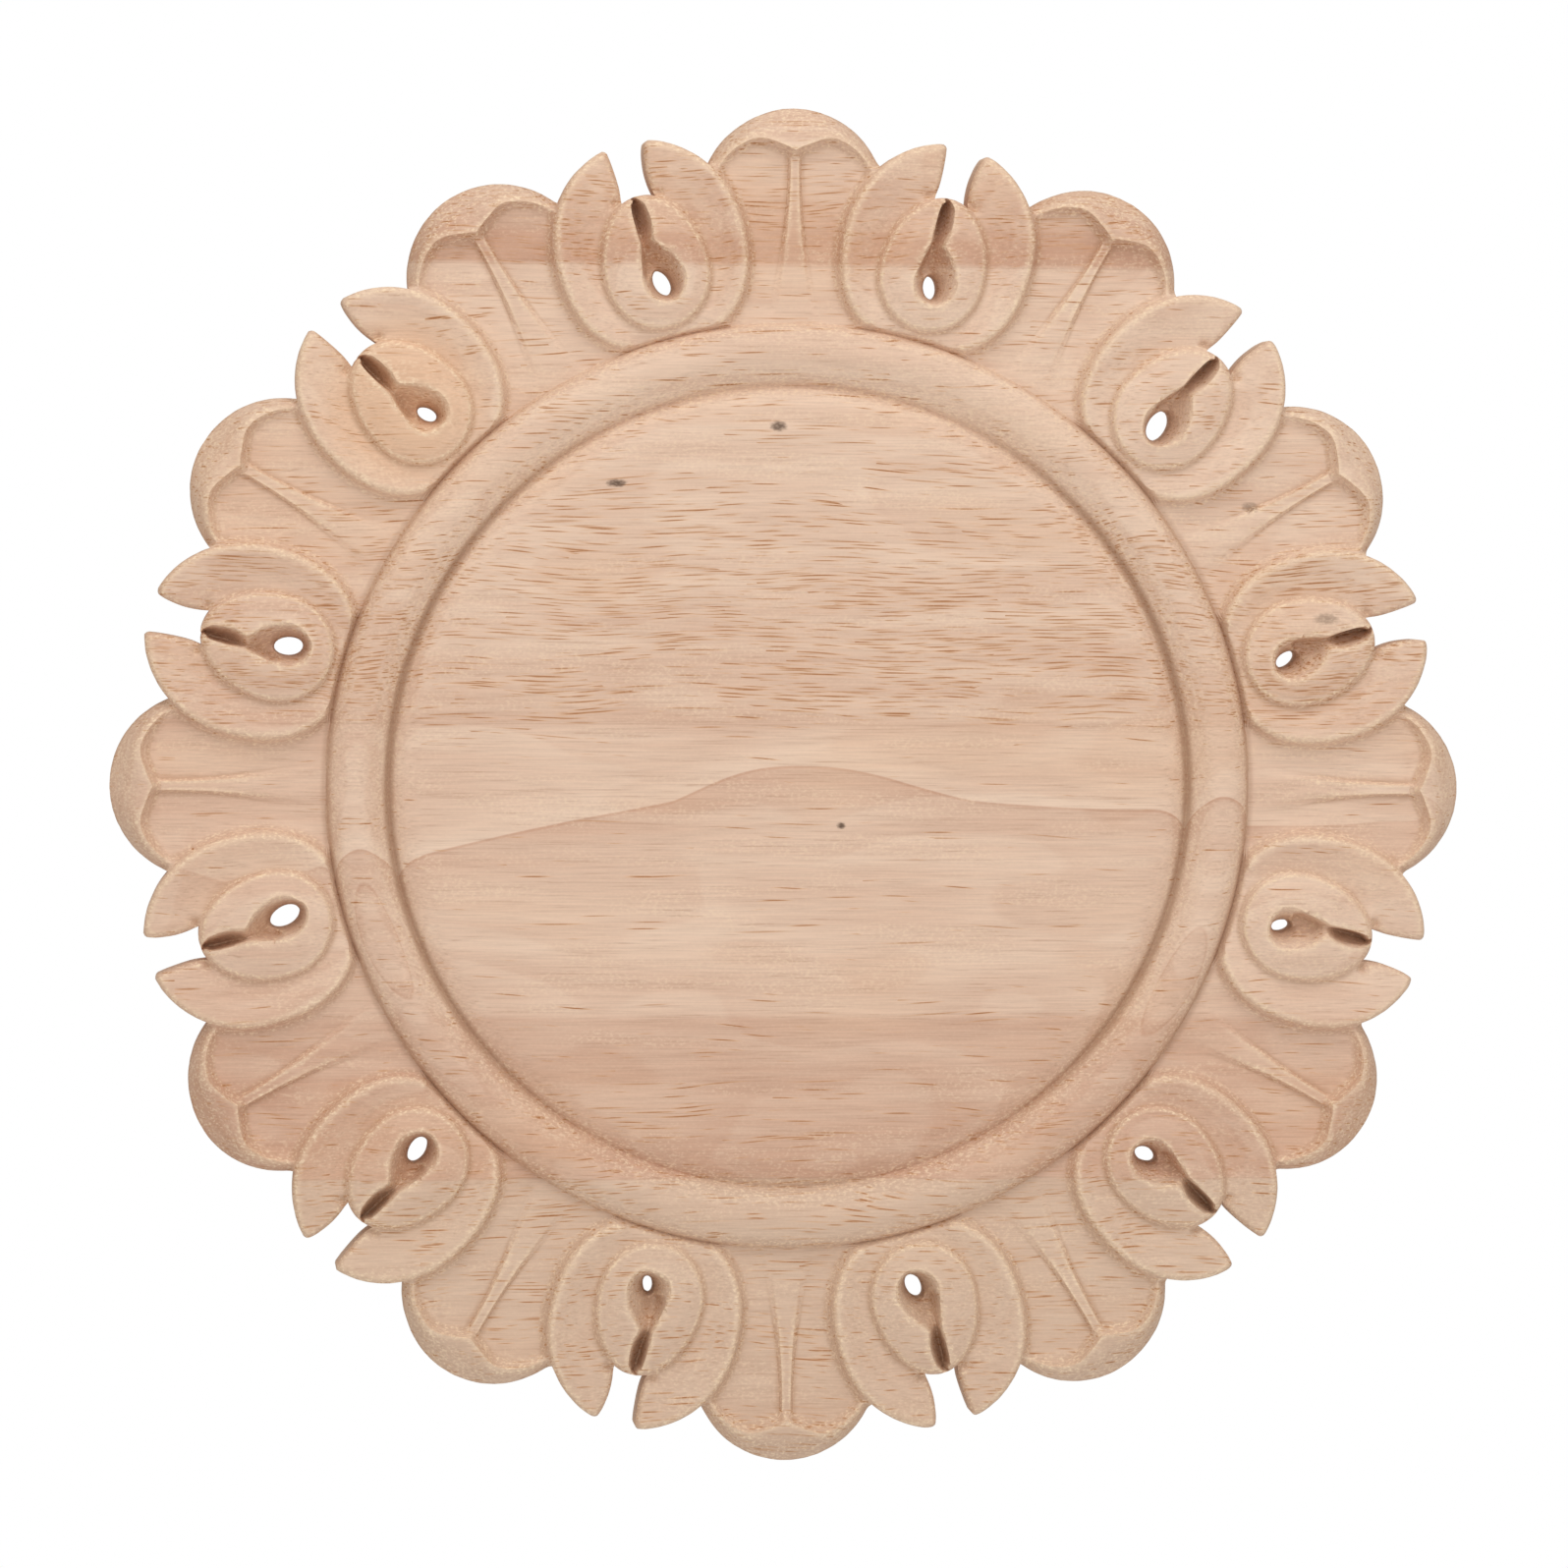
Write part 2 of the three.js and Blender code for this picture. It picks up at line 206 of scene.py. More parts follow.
def through(knots, values, x):
    """A smooth curve through values at knots, read at x, level beyond its ends."""
    knots = np.asarray(knots, float)
    values = np.asarray(values, float)
    x = np.clip(x, knots[0], knots[-1])
    i = np.clip(np.searchsorted(knots, x, side="right") - 1, 0, len(knots) - 2)
    slopes = np.gradient(values, knots)
    width = knots[i + 1] - knots[i]
    t = (x - knots[i]) / width
    start = values[i] * (1 + 2 * t) + width * slopes[i] * t
    end = values[i + 1] * (3 - 2 * t) - width * slopes[i + 1] * (1 - t)
    return start * (1 - t) ** 2 + end * t ** 2


def stations(line, spacing):
    """Lengths along a line to its points, and even lengths about spacing apart."""
    steps = np.linalg.norm(np.diff(line, axis=0), axis=1)
    lengths = np.concatenate(([0.0], np.cumsum(steps)))
    return lengths, np.linspace(0, lengths[-1], max(2, round(lengths[-1] / spacing) + 1))


def curve_points(corners, spacing):
    """Points about spacing apart on a smooth curve through the corners."""
    corners = np.asarray(corners, float)
    lengths, at = stations(corners, spacing)
    return np.column_stack([through(lengths, corners[:, k], at) for k in (0, 1)])


def evenly(line, spacing):
    """Points about spacing apart along a finely drawn line."""
    lengths, at = stations(line, spacing)
    return np.column_stack([np.interp(at, lengths, line[:, k]) for k in (0, 1)])


def right_of(line):
    """Unit steps to the right of a line, at each of its points."""
    along = np.gradient(line, axis=0)
    normal = np.column_stack((along[:, 1], -along[:, 0]))
    return normal / np.linalg.norm(normal, axis=1)[:, None]


def oval_radius(oval, angle):
    """Distance from an oval's centre to its line, at an angle from the outward axis."""
    outward = np.cos(angle) > 0
    power = np.where(outward, 2.0, oval["squareness"])
    length = np.where(outward, oval["outward"], oval["inward"])
    across = (np.abs(np.sin(angle)) / oval["half_width"]) ** power
    along = (np.abs(np.cos(angle)) / length) ** power
    return (across + along) ** (-1 / power)


def oval_inset(oval, centre, u, v):
    """How far points lie inside an oval's line: negative outside it. Also their share of its size."""
    angle = np.arctan2(u - centre[0], v - centre[1])
    distance = np.hypot(u - centre[0], v - centre[1])
    reach = oval_radius(oval, angle)
    turn = (oval_radius(oval, angle + 0.01) - oval_radius(oval, angle - 0.01)) / 0.02
    return (reach - distance) / np.sqrt(1 + (turn / reach) ** 2), distance / reach


def oval_points(oval, centre, inset, start, end, spacing):
    """Points on an oval's line, or on a line set in from it, between two angles."""
    angle = np.linspace(start, end, 720)
    reach = oval_radius(oval, angle)
    line = np.column_stack((reach * np.sin(angle), reach * np.cos(angle))) + centre
    return evenly(line + right_of(line) * inset, spacing)


def distance_to(line, u, v):
    """Distance from points to a line of straight pieces."""
    points = np.column_stack((np.ravel(u), np.ravel(v)))
    best = np.full(len(points), 1e9)
    for a, b in zip(line[:-1], line[1:]):
        d = b - a
        t = np.clip((points - a) @ d / max(d @ d, 1e-12), 0, 1)
        best = np.minimum(best, np.hypot(*(points - a - t[:, None] * d).T))
    return best.reshape(np.shape(u))


def lobe_place(u, v):
    """Points of the sector in the frame of the nearer lobe: off its middle line, and along it."""
    c, s = math.cos(HALF_SECTOR), math.sin(HALF_SECTOR)
    return v * s - np.abs(u) * c, v * c + np.abs(u) * s


def from_lobe(points, side):
    """Points of a lobe's near half, drawn off its middle line, in the frame of the sector."""
    c, s = math.cos(HALF_SECTOR), math.sin(HALF_SECTOR)
    points = np.asarray(points, float)
    off, along = points[:, 0], points[:, 1]
    return np.column_stack((side * (along * s - off * c), along * c + off * s))


def scallop_radius(angle):
    """Distance from the lobe's centre to the inner edge of its band."""
    share = np.clip(np.abs(angle) / BAND_HALF_ANGLE, 0, 1)
    return LOBE_RADIUS - through(np.linspace(0, 1, len(BAND_WIDTHS)), BAND_WIDTHS, share)


def scallop_line(spacing=0.8):
    """The inner edge of a lobe's band, from its cusp to the lobe's side."""
    angle = np.linspace(0, BAND_HALF_ANGLE, 200)
    reach = scallop_radius(angle)
    line = np.column_stack((reach * np.sin(angle), LOBE_CENTRE + reach * np.cos(angle)))
    return evenly(line, spacing)


def lobe_height(off, along):
    """Height of a lobe's ground, its vein and its band."""
    half_width = through(GROUND_RADII, GROUND_HALF_WIDTHS, along)
    ground = through(GROUND_RADII, GROUND_HEIGHTS, along)
    ground = ground + GROUND_SIDE_RISE * np.clip(off / half_width, 0, 1.3) ** 2
    width = through(GROUND_RADII, VEIN_HALF_WIDTHS, along)
    side = np.clip((1 - off / width) / (1 - VEIN_TOP_SHARE), 0, 1)
    ground = ground + through(GROUND_RADII, VEIN_HEIGHTS, along) * side ** 0.85
    angle = np.arctan2(off, along - LOBE_CENTRE)
    reach = np.hypot(off, along - LOBE_CENTRE)
    share = np.clip(np.abs(angle) / BAND_HALF_ANGLE, 0, 1)
    crest = through(np.linspace(0, 1, len(BAND_HEIGHTS)), BAND_HEIGHTS, share)
    inner = scallop_radius(angle)
    across = np.clip((reach - inner) / (LOBE_RADIUS - inner), 0, 1)
    band = crest - (crest - RIM_HEIGHT) * across ** BAND_FALL
    inside = distance_to(scallop_line(0.5), off, along)
    cove = np.clip(1 - inside / BAND_COVE, 0, 1) ** FOOT_CURVE
    beside = ground + np.clip(crest - ground, 0, None) * cove
    on_band = (reach >= inner) & (np.abs(angle) <= BAND_HALF_ANGLE)
    return np.where(on_band, band, beside)


def petal_height(u, v):
    """Height of the two petals: a crest near the cup's line, and a fall towards the bud."""
    inset, _ = oval_inset(CUP, CUP_CENTRE, u, v)
    angle = np.degrees(np.abs(np.arctan2(u - CUP_CENTRE[0], v - CUP_CENTRE[1])))
    crest = through(PETAL_ANGLES, PETAL_HEIGHTS, angle)
    fall = through(PETAL_ANGLES, PETAL_FALLS, angle)
    height = crest - fall * np.clip(inset - PETAL_BEVEL, 0, None) / PETAL_FALL_WIDTH
    height = height - PETAL_BEVEL_DROP * np.clip(1 - inset / PETAL_BEVEL, 0, 1) ** 2
    for side, corners in GAP_SIDES.items():
        beside = distance_to(curve_points(corners, 0.6), u, v)
        bevel = GAP_BEVEL_DROP * np.clip(1 - beside / GAP_BEVEL, 0, 1) ** 2
        pocket = np.hypot(u - side * GAP_POCKET["across"], v - GAP_POCKET["along"])
        pocket = np.clip(1 - pocket / GAP_POCKET["radius"], 0, 1) ** 1.2
        height = height - np.where(u * side > 0, bevel + GAP_POCKET["depth"] * pocket, 0)
    return height


def bud_height(share):
    """Height of the bud's back, from its share of the bud's oval: 0 in the middle, 1 at its edge."""
    rise = np.clip((share - 0.45) / (BUD_SHOULDER - 0.45), 0, 1) ** 1.5
    height = TOP_HEIGHT - (TOP_HEIGHT - BUD_SHOULDER_HEIGHT) * rise
    edge = np.clip((share - BUD_SHOULDER) / (1 - BUD_SHOULDER), 0, 1) ** 2
    return height - (BUD_SHOULDER_HEIGHT - BUD_EDGE_HEIGHT) * edge


def opening_height(u, v):
    """Height of the floor and walls of the opening, far above the bud outside it."""
    _, hole = oval_inset(HOLE, HOLE_CENTRE, u, v)
    _, basin = oval_inset(BASIN, BASIN_CENTRE, u, v)
    from_hole = np.clip(hole - 1, 0, None)
    share = from_hole / (from_hole + np.clip(1 - basin, 1e-6, None) * 1.3)
    bowl = HOLE_FLOOR + (TOP_HEIGHT - HOLE_FLOOR) * share ** BOWL_CURVE
    bowl = bowl + np.clip(basin - 1, 0, None) * BOWL_RIM_SLOPE
    left, right = through(SLIT_RADII, LEFT_LIPS, v), through(SLIT_RADII, RIGHT_LIPS, v)
    floor = through(SLIT_RADII, SLIT_FLOORS, v)
    across = (u - left) / (right - left) - SLIT_VALLEY
    steep = np.clip(-across / SLIT_VALLEY, 0, None) ** STEEP_WALL
    soft = np.clip(across / (1 - SLIT_VALLEY), 0, None) ** SOFT_WALL
    beyond = (np.clip(v - SLIT_RADII[-1], 0, None) / SLIT_END_RUN) ** 2
    before = (np.clip(SLIT_RADII[1] + SLIT_START - v, 0, None) / SLIT_START_RUN) ** 2
    wall = steep + soft + beyond + before * SLIT_START_RISE
    trench = floor + (TOP_HEIGHT - floor) * wall
    trench = np.where(v > SLIT_RADII[0], trench, UNCUT)
    return np.minimum(bowl, trench)


def relief_height(u, v):
    """Height of the carving at every point of the sector."""
    radius = np.hypot(u, v)
    height = lobe_height(*lobe_place(u, v))
    inset, _ = oval_inset(CUP, CUP_CENTRE, u, v)
    petals = petal_height(u, v)
    foot = np.clip(1 + inset / PETAL_FOOT, 0, 1) ** FOOT_CURVE
    beside = height + np.clip(petals - height, 0, None) * foot
    height = np.where(inset >= 0, petals, beside)
    inset, share = oval_inset(BUD, BUD_CENTRE, u, v)
    foot = np.clip(1 + inset / BUD_FOOT, 0, 1) ** FOOT_CURVE
    beside = height + np.clip(BUD_EDGE_HEIGHT - height, 0, None) * foot
    height = np.where(share <= 1, bud_height(share), beside)
    opening = opening_height(u, v)
    lip = np.clip(1 - np.abs(height - opening) / LIP_ROUNDING, 0, 1)
    height = np.minimum(height, opening) - LIP_ROUNDING / 4 * lip ** 2
    height = np.minimum(height, GROOVE_HEIGHT + (radius - GROOVE_RADIUS) * GROOVE_BANK)
    knots, levels = zip(*TURNED_PROFILE)
    turned = np.interp(radius, knots, levels)
    return np.minimum(np.where(radius <= GROOVE_RADIUS, turned, height), TOP_HEIGHT)


def ridge_share(points, heights):
    """How far points stand over the carving close around them: 1 on ridges, -1 in furrows."""
    around = [relief_height(points[:, 0] + RIDGE_REACH * math.sin(a),
                            points[:, 1] + RIDGE_REACH * math.cos(a))
              for a in np.arange(8) * math.pi / 4]
    radius = np.hypot(points[:, 0], points[:, 1])
    around = [np.clip(near, heights - 1, heights + 1) for near in around]
    share = np.clip((heights - np.mean(around, axis=0)) / RIDGE_RISE, -1, 1)
    return share * np.clip((radius - GROOVE_RADIUS) / 2, 0, 1)


def junction_angle():
    """The angle about the lobe's centre at which its rim runs under a petal."""
    low, high = 0.0, math.pi * 0.75
    for _ in range(50):
        angle = (low + high) / 2
        at = np.array([[math.sin(angle), math.cos(angle)]]) * LOBE_RADIUS + (0, LOBE_CENTRE)
        place = from_lobe(at, 1)[0]
        outside = oval_inset(CUP, CUP_CENTRE, place[0], place[1])[0] < 0
        low, high = (angle, high) if outside else (low, angle)
    return low


def half_outline(side):
    """One half of the sector's outline, from the lobe's top to the middle of the bud's end."""
    angle = np.linspace(0, junction_angle(), 30)
    rim = np.column_stack((np.sin(angle), np.cos(angle))) * LOBE_RADIUS + (0, LOBE_CENTRE)
    rim = from_lobe(rim, side)
    tip, corner = GAP_SIDES[side][0], GAP_SIDES[side][-1]
    start = math.atan2(rim[-1][0] - CUP_CENTRE[0], rim[-1][1] - CUP_CENTRE[1])
    end = math.atan2(tip[0] - CUP_CENTRE[0], tip[1] - CUP_CENTRE[1])
    petal = oval_points(CUP, CUP_CENTRE, 0, start, end, 0.8)
    gap = curve_points(GAP_SIDES[side], 0.6)
    start = math.atan2(corner[0] - BUD_CENTRE[0], corner[1] - BUD_CENTRE[1])
    bud = oval_points(BUD, BUD_CENTRE, 0, start, 0, 0.5)
    return np.vstack((rim, petal[1:], gap[1:], bud[1:]))


def inside_loop(loop, points):
    """Which points lie inside a closed loop."""
    x, y = points[:, 0], points[:, 1]
    inside = np.zeros(len(points), bool)
    for a, b in zip(loop, np.roll(loop, -1, axis=0)):
        crosses = (a[1] > y) != (b[1] > y)
        with np.errstate(divide="ignore", invalid="ignore"):
            at = (b[0] - a[0]) * (y - a[1]) / (b[1] - a[1]) + a[0]
        inside ^= crosses & (x < at)
    return inside


class SectorPlan:
    """The points and lines that the sector's surface is spanned on."""

    def __init__(self, outline, hole):
        self.outline = outline
        self.hole = hole
        self.points = []
        self.edges = []
        self.cells = {}

    def near(self, point, gap):
        """The nearest point kept so far within gap, or None."""
        i, j = math.floor(point[0]), math.floor(point[1])
        best, found = gap, None
        for a in (i - 1, i, i + 1):
            for b in (j - 1, j, j + 1):
                for k in self.cells.get((a, b), ()):
                    away = math.dist(self.points[k], point)
                    if away < best:
                        best, found = away, k
        return found

    def point(self, point, gap):
        """Adds a point, or finds the kept one that it falls on."""
        point = (float(point[0]), float(point[1]))
        found = self.near(point, gap)
        if found is None:
            found = len(self.points)
            self.points.append(point)
            self.cells.setdefault((math.floor(point[0]), math.floor(point[1])), []).append(found)
        return found

    def line(self, line, gap=0.28, closed=False, clip=True):
        """Adds a line. Its points outside the outline, in the hole or over the seam are left out."""
        line = np.asarray(line, float)
        keep = np.ones(len(line), bool)
        if clip:
            off, _ = lobe_place(line[:, 0], line[:, 1])
            keep = inside_loop(self.outline, line) & ~inside_loop(self.hole, line) & (off > -1e-6)
            keep &= distance_to(self.outline, line[:, 0], line[:, 1]) > OUTLINE_MARGIN
        previous = None
        first = None
        for place, kept in zip(line, keep):
            if not kept:
                previous = None
                continue
            index = self.point(place, gap)
            first = index if first is None else first
            if previous is not None and previous != index:
                self.edges.append((previous, index))
            previous = index
        if closed and previous is not None and previous != first:
            self.edges.append((previous, first))

    def carve(self, line, gap=0.3, closed=False):
        """Adds the stretches of a line that lie beyond the outer groove's bank."""
        line = np.asarray(line)
        beyond = np.hypot(line[:, 0], line[:, 1]) > BANK_RADII[-1]
        if closed or beyond.all():
            self.line(line, gap, closed)
            return
        for run in np.split(line, np.flatnonzero(np.diff(beyond)) + 1):
            if math.hypot(*run[0]) > BANK_RADII[-1]:
                self.line(run, gap)


def seam_radii():
    """Radii of the points on a lobe's middle line, from the centre to its top."""
    turned = [r for r, _ in TURNED_PROFILE]
    cusp = LOBE_CENTRE + float(scallop_radius(0.0))
    ground = np.linspace(GROOVE_RADIUS + 2.0, cusp - BAND_COVE, 28)
    cove = cusp - BAND_COVE * np.array(COVE_SHARES)
    band = np.linspace(cusp, LOBE_CENTRE + LOBE_RADIUS, 12)[1:]
    return [*turned, *BANK_RADII, *ground, *cove, *band]


def turned_lines(plan):
    """The seams to the next sectors, and the rings of the disc, the grooves and the ring."""
    radii = seam_radii()
    for side in (-1, 1):
        seam = from_lobe(np.column_stack((np.zeros(len(radii)), radii)), side)
        plan.line(seam, gap=ON_SEAM, clip=False)
    angles = np.linspace(-HALF_SECTOR, HALF_SECTOR, TURNED_STEPS + 1)
    around = np.column_stack((np.sin(angles), np.cos(angles)))
    turned = [radius for radius, _ in TURNED_PROFILE[DISC_STEPS:]]
    for radius in (*turned, *BANK_RADII):
        plan.line(around * radius, gap=1e-3, clip=False)


def petal_lines(plan):
    """Lines along the cup of the two petals."""
    for inset in PETAL_INSETS:
        for side in (-1, 1):
            plan.carve(oval_points(CUP, CUP_CENTRE, inset * side, side * 0.2, side * math.pi, 0.8))


def bud_lines(plan):
    """Lines along the bud's edge, its basin and its slit."""
    for inset in BUD_INSETS:
        plan.carve(oval_points(BUD, BUD_CENTRE, inset, -math.pi, math.pi, 0.7))
    for inset in BASIN_INSETS:
        rim = oval_points(BASIN, BASIN_CENTRE, inset, -math.pi, math.pi, 0.6)[:-1]
        plan.carve(rim, closed=True)
    for share in BASIN_SHARES:
        plan.carve(hole_ring(share, 30), closed=True)
    radii = np.linspace(*SLIT_LINE_RADII, 36)
    left, right = through(SLIT_RADII, LEFT_LIPS, radii), through(SLIT_RADII, RIGHT_LIPS, radii)
    for share in SLIT_SHARES:
        plan.carve(np.column_stack((left + share * (right - left), radii)), gap=0.22)


def gap_lines(plan):
    """Lines beside the gap between the petals' tips."""
    for side, corners in GAP_SIDES.items():
        gap = curve_points(corners, 0.7)
        for inset in GAP_INSETS:
            plan.carve((gap - right_of(gap) * side * inset)[1:-1])


def lobe_lines(plan):
    """Lines along the waved inner edge of a lobe's band, over the band and up its vein."""
    scallop = scallop_line(0.8)
    for inset in SCALLOP_INSETS:
        line = scallop + right_of(scallop) * inset
        for side in (-1, 1):
            plan.carve(from_lobe(line[line[:, 0] > 0.25], side))
    angle = np.linspace(0.02, BAND_HALF_ANGLE, 26)
    for share in BAND_SHARES:
        reach = scallop_radius(angle) * (1 - share) + LOBE_RADIUS * share
        line = np.column_stack((reach * np.sin(angle), LOBE_CENTRE + reach * np.cos(angle)))
        for side in (-1, 1):
            plan.carve(from_lobe(line, side))
    radii = np.linspace(*VEIN_LINE_RADII, 34)
    width = through(GROUND_RADII, VEIN_HALF_WIDTHS, radii)
    for share in VEIN_SHARES:
        for side in (-1, 1):
            plan.carve(from_lobe(np.column_stack((width * share, radii)), side))


def fill_points(plan, spacing=1.35):
    """Loose points between the lines."""
    across, outward = FILL_REACH
    for k, v in enumerate(np.arange(GROOVE_RADIUS, outward, spacing * FILL_ROW_STEP)):
        u = np.arange(-across, across, spacing) + (k % 2) * spacing / 2
        row = np.column_stack((u, np.full(len(u), v)))
        off, _ = lobe_place(row[:, 0], row[:, 1])
        keep = inside_loop(plan.outline, row) & ~inside_loop(plan.hole, row) & (off > 0.7)
        keep &= np.hypot(row[:, 0], row[:, 1]) > BANK_RADII[-1] + 0.6
        keep &= distance_to(plan.outline, row[:, 0], row[:, 1]) > 0.6
        for place in row[keep]:
            plan.point(place, 0.72)


def sector_plan():
    """All the lines of the carving in one twelfth."""
    left, right = half_outline(-1), half_outline(1)
    rim = np.vstack((left, right[::-1][1:]))
    hole = oval_points(HOLE, HOLE_CENTRE, 0, 0, 2 * math.pi, 0.55)[:-1]
    plan = SectorPlan(np.vstack((rim, [(0.0, 0.0)])), hole)
    plan.line(rim, gap=ON_SEAM, clip=False)
    plan.line(hole, gap=ON_SEAM, closed=True, clip=False)
    for add_lines in (turned_lines, petal_lines, bud_lines, gap_lines, lobe_lines, fill_points):
        add_lines(plan)
    return plan


def hole_ring(share, count):
    """A ring between the hole and the edge of its basin."""
    angle = np.linspace(-math.pi, math.pi, count + 1)[:-1]
    hole = oval_radius(HOLE, angle)
    basin = oval_radius(BASIN, angle)
    reach = hole * (1 - share) + basin * share
    centre = np.array(HOLE_CENTRE) * (1 - share) + np.array(BASIN_CENTRE) * share
    return np.column_stack((reach * np.sin(angle), reach * np.cos(angle))) + centre


def spanned(points, edges, closeness):
    """Points and triangles of a flat net that keeps the edges, and where its points came from."""
    net = delaunay_2d_cdt([Vector(point) for point in points], edges, [], 0, closeness)
    return np.array([tuple(point) for point in net[0]]), np.array(net[2]), net[3]


def carved_front(plan):
    """Points and triangles of the sector's front, and which points lie on a seam."""
    points, triangles, _ = spanned(plan.points, plan.edges, 1e-5)
    middles = points[triangles].mean(axis=1)
    off, _ = lobe_place(points[:, 0], points[:, 1])
    on_seam = np.abs(off) < ON_SEAM
    kept = inside_loop(plan.outline, middles) & ~inside_loop(plan.hole, middles)
    across = points[triangles][:, :, 0]
    spans = (across.min(axis=1) < -1) & (across.max(axis=1) > 1)
    kept &= spans | ~on_seam[triangles].all(axis=1)
    triangles = triangles[kept]
    flip = np.cross(*(points[triangles[:, k]] - points[triangles[:, 0]] for k in (1, 2))) < 0
    triangles[flip] = triangles[flip][:, ::-1]
    return points, triangles, on_seam


def rim_edges(triangles, on_seam):
    """The front's edges on the outline and round the hole, in the triangles' own direction."""
    sides = [(t[i], t[j]) for t in triangles for i, j in ((0, 1), (1, 2), (2, 0))]
    known = set(sides)
    return [(i, j) for i, j in sides
            if (j, i) not in known and not (on_seam[i] and on_seam[j])]


def back_tiles(plan, points, edges, flat, ends):
    """Triangles of the flat back over the flat points: the rim's own and the centre, the last."""
    local = {i: k for k, i in enumerate(flat)}
    bounds = [(local[i], local[j]) for i, j in edges]
    bounds += [(local[flat[-1]], local[i]) for i in ends]
    under, tiles, sources = spanned(points[flat], bounds, 1e-7)
    if len(under) != len(flat):
        raise RuntimeError("the back's outline crosses itself")
    middles = under[tiles].mean(axis=1)
    tiles = tiles[inside_loop(plan.outline, middles) & ~inside_loop(plan.hole, middles)]
    for tile in tiles:
        p, q, r = under[tile]
        order = tile[::-1] if np.cross(q - p, r - p) > 0 else tile
        yield [flat[sources[k][0]] for k in order]


def sector_mesh():
    """One twelfth of the rosette as a mesh: carved front, edges, hole and flat back."""
    plan = sector_plan()
    points, triangles, on_seam = carved_front(plan)
    heights = relief_height(points[:, 0], points[:, 1])
    front = np.column_stack((points[:, 0], -heights, points[:, 1]))
    edges = rim_edges(triangles, on_seam)
    rim = sorted({i for edge in edges for i in edge})
    centre = int(np.argmin(np.hypot(points[:, 0], points[:, 1])))
    flat = [*rim, centre]
    back_index = {i: len(points) + k for k, i in enumerate(flat)}
    back = np.column_stack((points[flat][:, 0], np.zeros(len(flat)), points[flat][:, 1]))
    faces = [tuple(int(i) for i in triangle) for triangle in triangles]
    faces += [(int(i), back_index[i], back_index[j], int(j)) for i, j in edges]
    ends = [i for i in rim if on_seam[i]]
    faces += [tuple(back_index[i] for i in tile)
              for tile in back_tiles(plan, points, edges, flat, ends)]
    mesh = bpy.data.meshes.new("carved_sector")
    mesh.from_pydata((np.vstack((front, back)) * MM).tolist(), [], faces)
    # The ridge share drives the wood's painted highlight on ridges and painted shade in furrows.
    ridge = mesh.attributes.new("ridge", "FLOAT", "POINT")
    ridge.data.foreach_set("value", [*ridge_share(points, heights), *np.zeros(len(back))])
    mesh.validate()
    mesh.update()
    return mesh


def rosette_tree():
    """Geometry Nodes that repeat the carved sector round the middle and join the seams."""
    tree = bpy.data.node_groups.new("Repeat Carved Sector", "GeometryNodeTree")
    face = tree.interface
    face.new_socket("Geometry", in_out="INPUT", socket_type="NodeSocketGeometry")
    count = face.new_socket("Repeats", in_out="INPUT", socket_type="NodeSocketInt")
    seam = face.new_socket("Seam Distance", in_out="INPUT", socket_type="NodeSocketFloat")
    wood = face.new_socket("Wood", in_out="INPUT", socket_type="NodeSocketMaterial")
    face.new_socket("Geometry", in_out="OUTPUT", socket_type="NodeSocketGeometry")

    def node(kind, **settings):
        made = tree.nodes.new(kind)
        for name, value in settings.items():
            setattr(made, name, value)
        return made

    given = node("NodeGroupInput")
    line = node("GeometryNodeMeshLine", mode="OFFSET")
    line.inputs["Offset"].default_value = (0, 0, 0)
    index = node("GeometryNodeInputIndex")
    step = node("ShaderNodeMath", operation="DIVIDE")
    step.inputs[0].default_value = 2 * math.pi
    between = node("ShaderNodeMath", operation="ADD")
    between.inputs[1].default_value = 0.5
    angle = node("ShaderNodeMath", operation="MULTIPLY")
    turn = node("ShaderNodeCombineXYZ")
    rotation = node("FunctionNodeEulerToRotation")
    instances = node("GeometryNodeInstanceOnPoints")
    realize = node("GeometryNodeRealizeInstances")
    merge = node("GeometryNodeMergeByDistance")
    material = node("GeometryNodeSetMaterial")
    result = node("NodeGroupOutput")
    for start, end in (
        (given.outputs["Repeats"], line.inputs["Count"]),
        (given.outputs["Repeats"], step.inputs[1]),
        (index.outputs[0], between.inputs[0]),
        (between.outputs[0], angle.inputs[0]),
        (step.outputs[0], angle.inputs[1]),
        (angle.outputs[0], turn.inputs["Y"]),
        (turn.outputs[0], rotation.inputs[0]),
        (line.outputs["Mesh"], instances.inputs["Points"]),
        (given.outputs["Geometry"], instances.inputs["Instance"]),
        (rotation.outputs[0], instances.inputs["Rotation"]),
        (instances.outputs[0], realize.inputs[0]),
        (realize.outputs[0], merge.inputs["Geometry"]),
        (given.outputs["Seam Distance"], merge.inputs["Distance"]),
        (merge.outputs[0], material.inputs["Geometry"]),
        (given.outputs["Wood"], material.inputs["Material"]),
        (material.outputs[0], result.inputs[0]),
    ):
        tree.links.new(start, end)
    return tree, {"repeats": count.identifier, "seam": seam.identifier, "wood": wood.identifier}


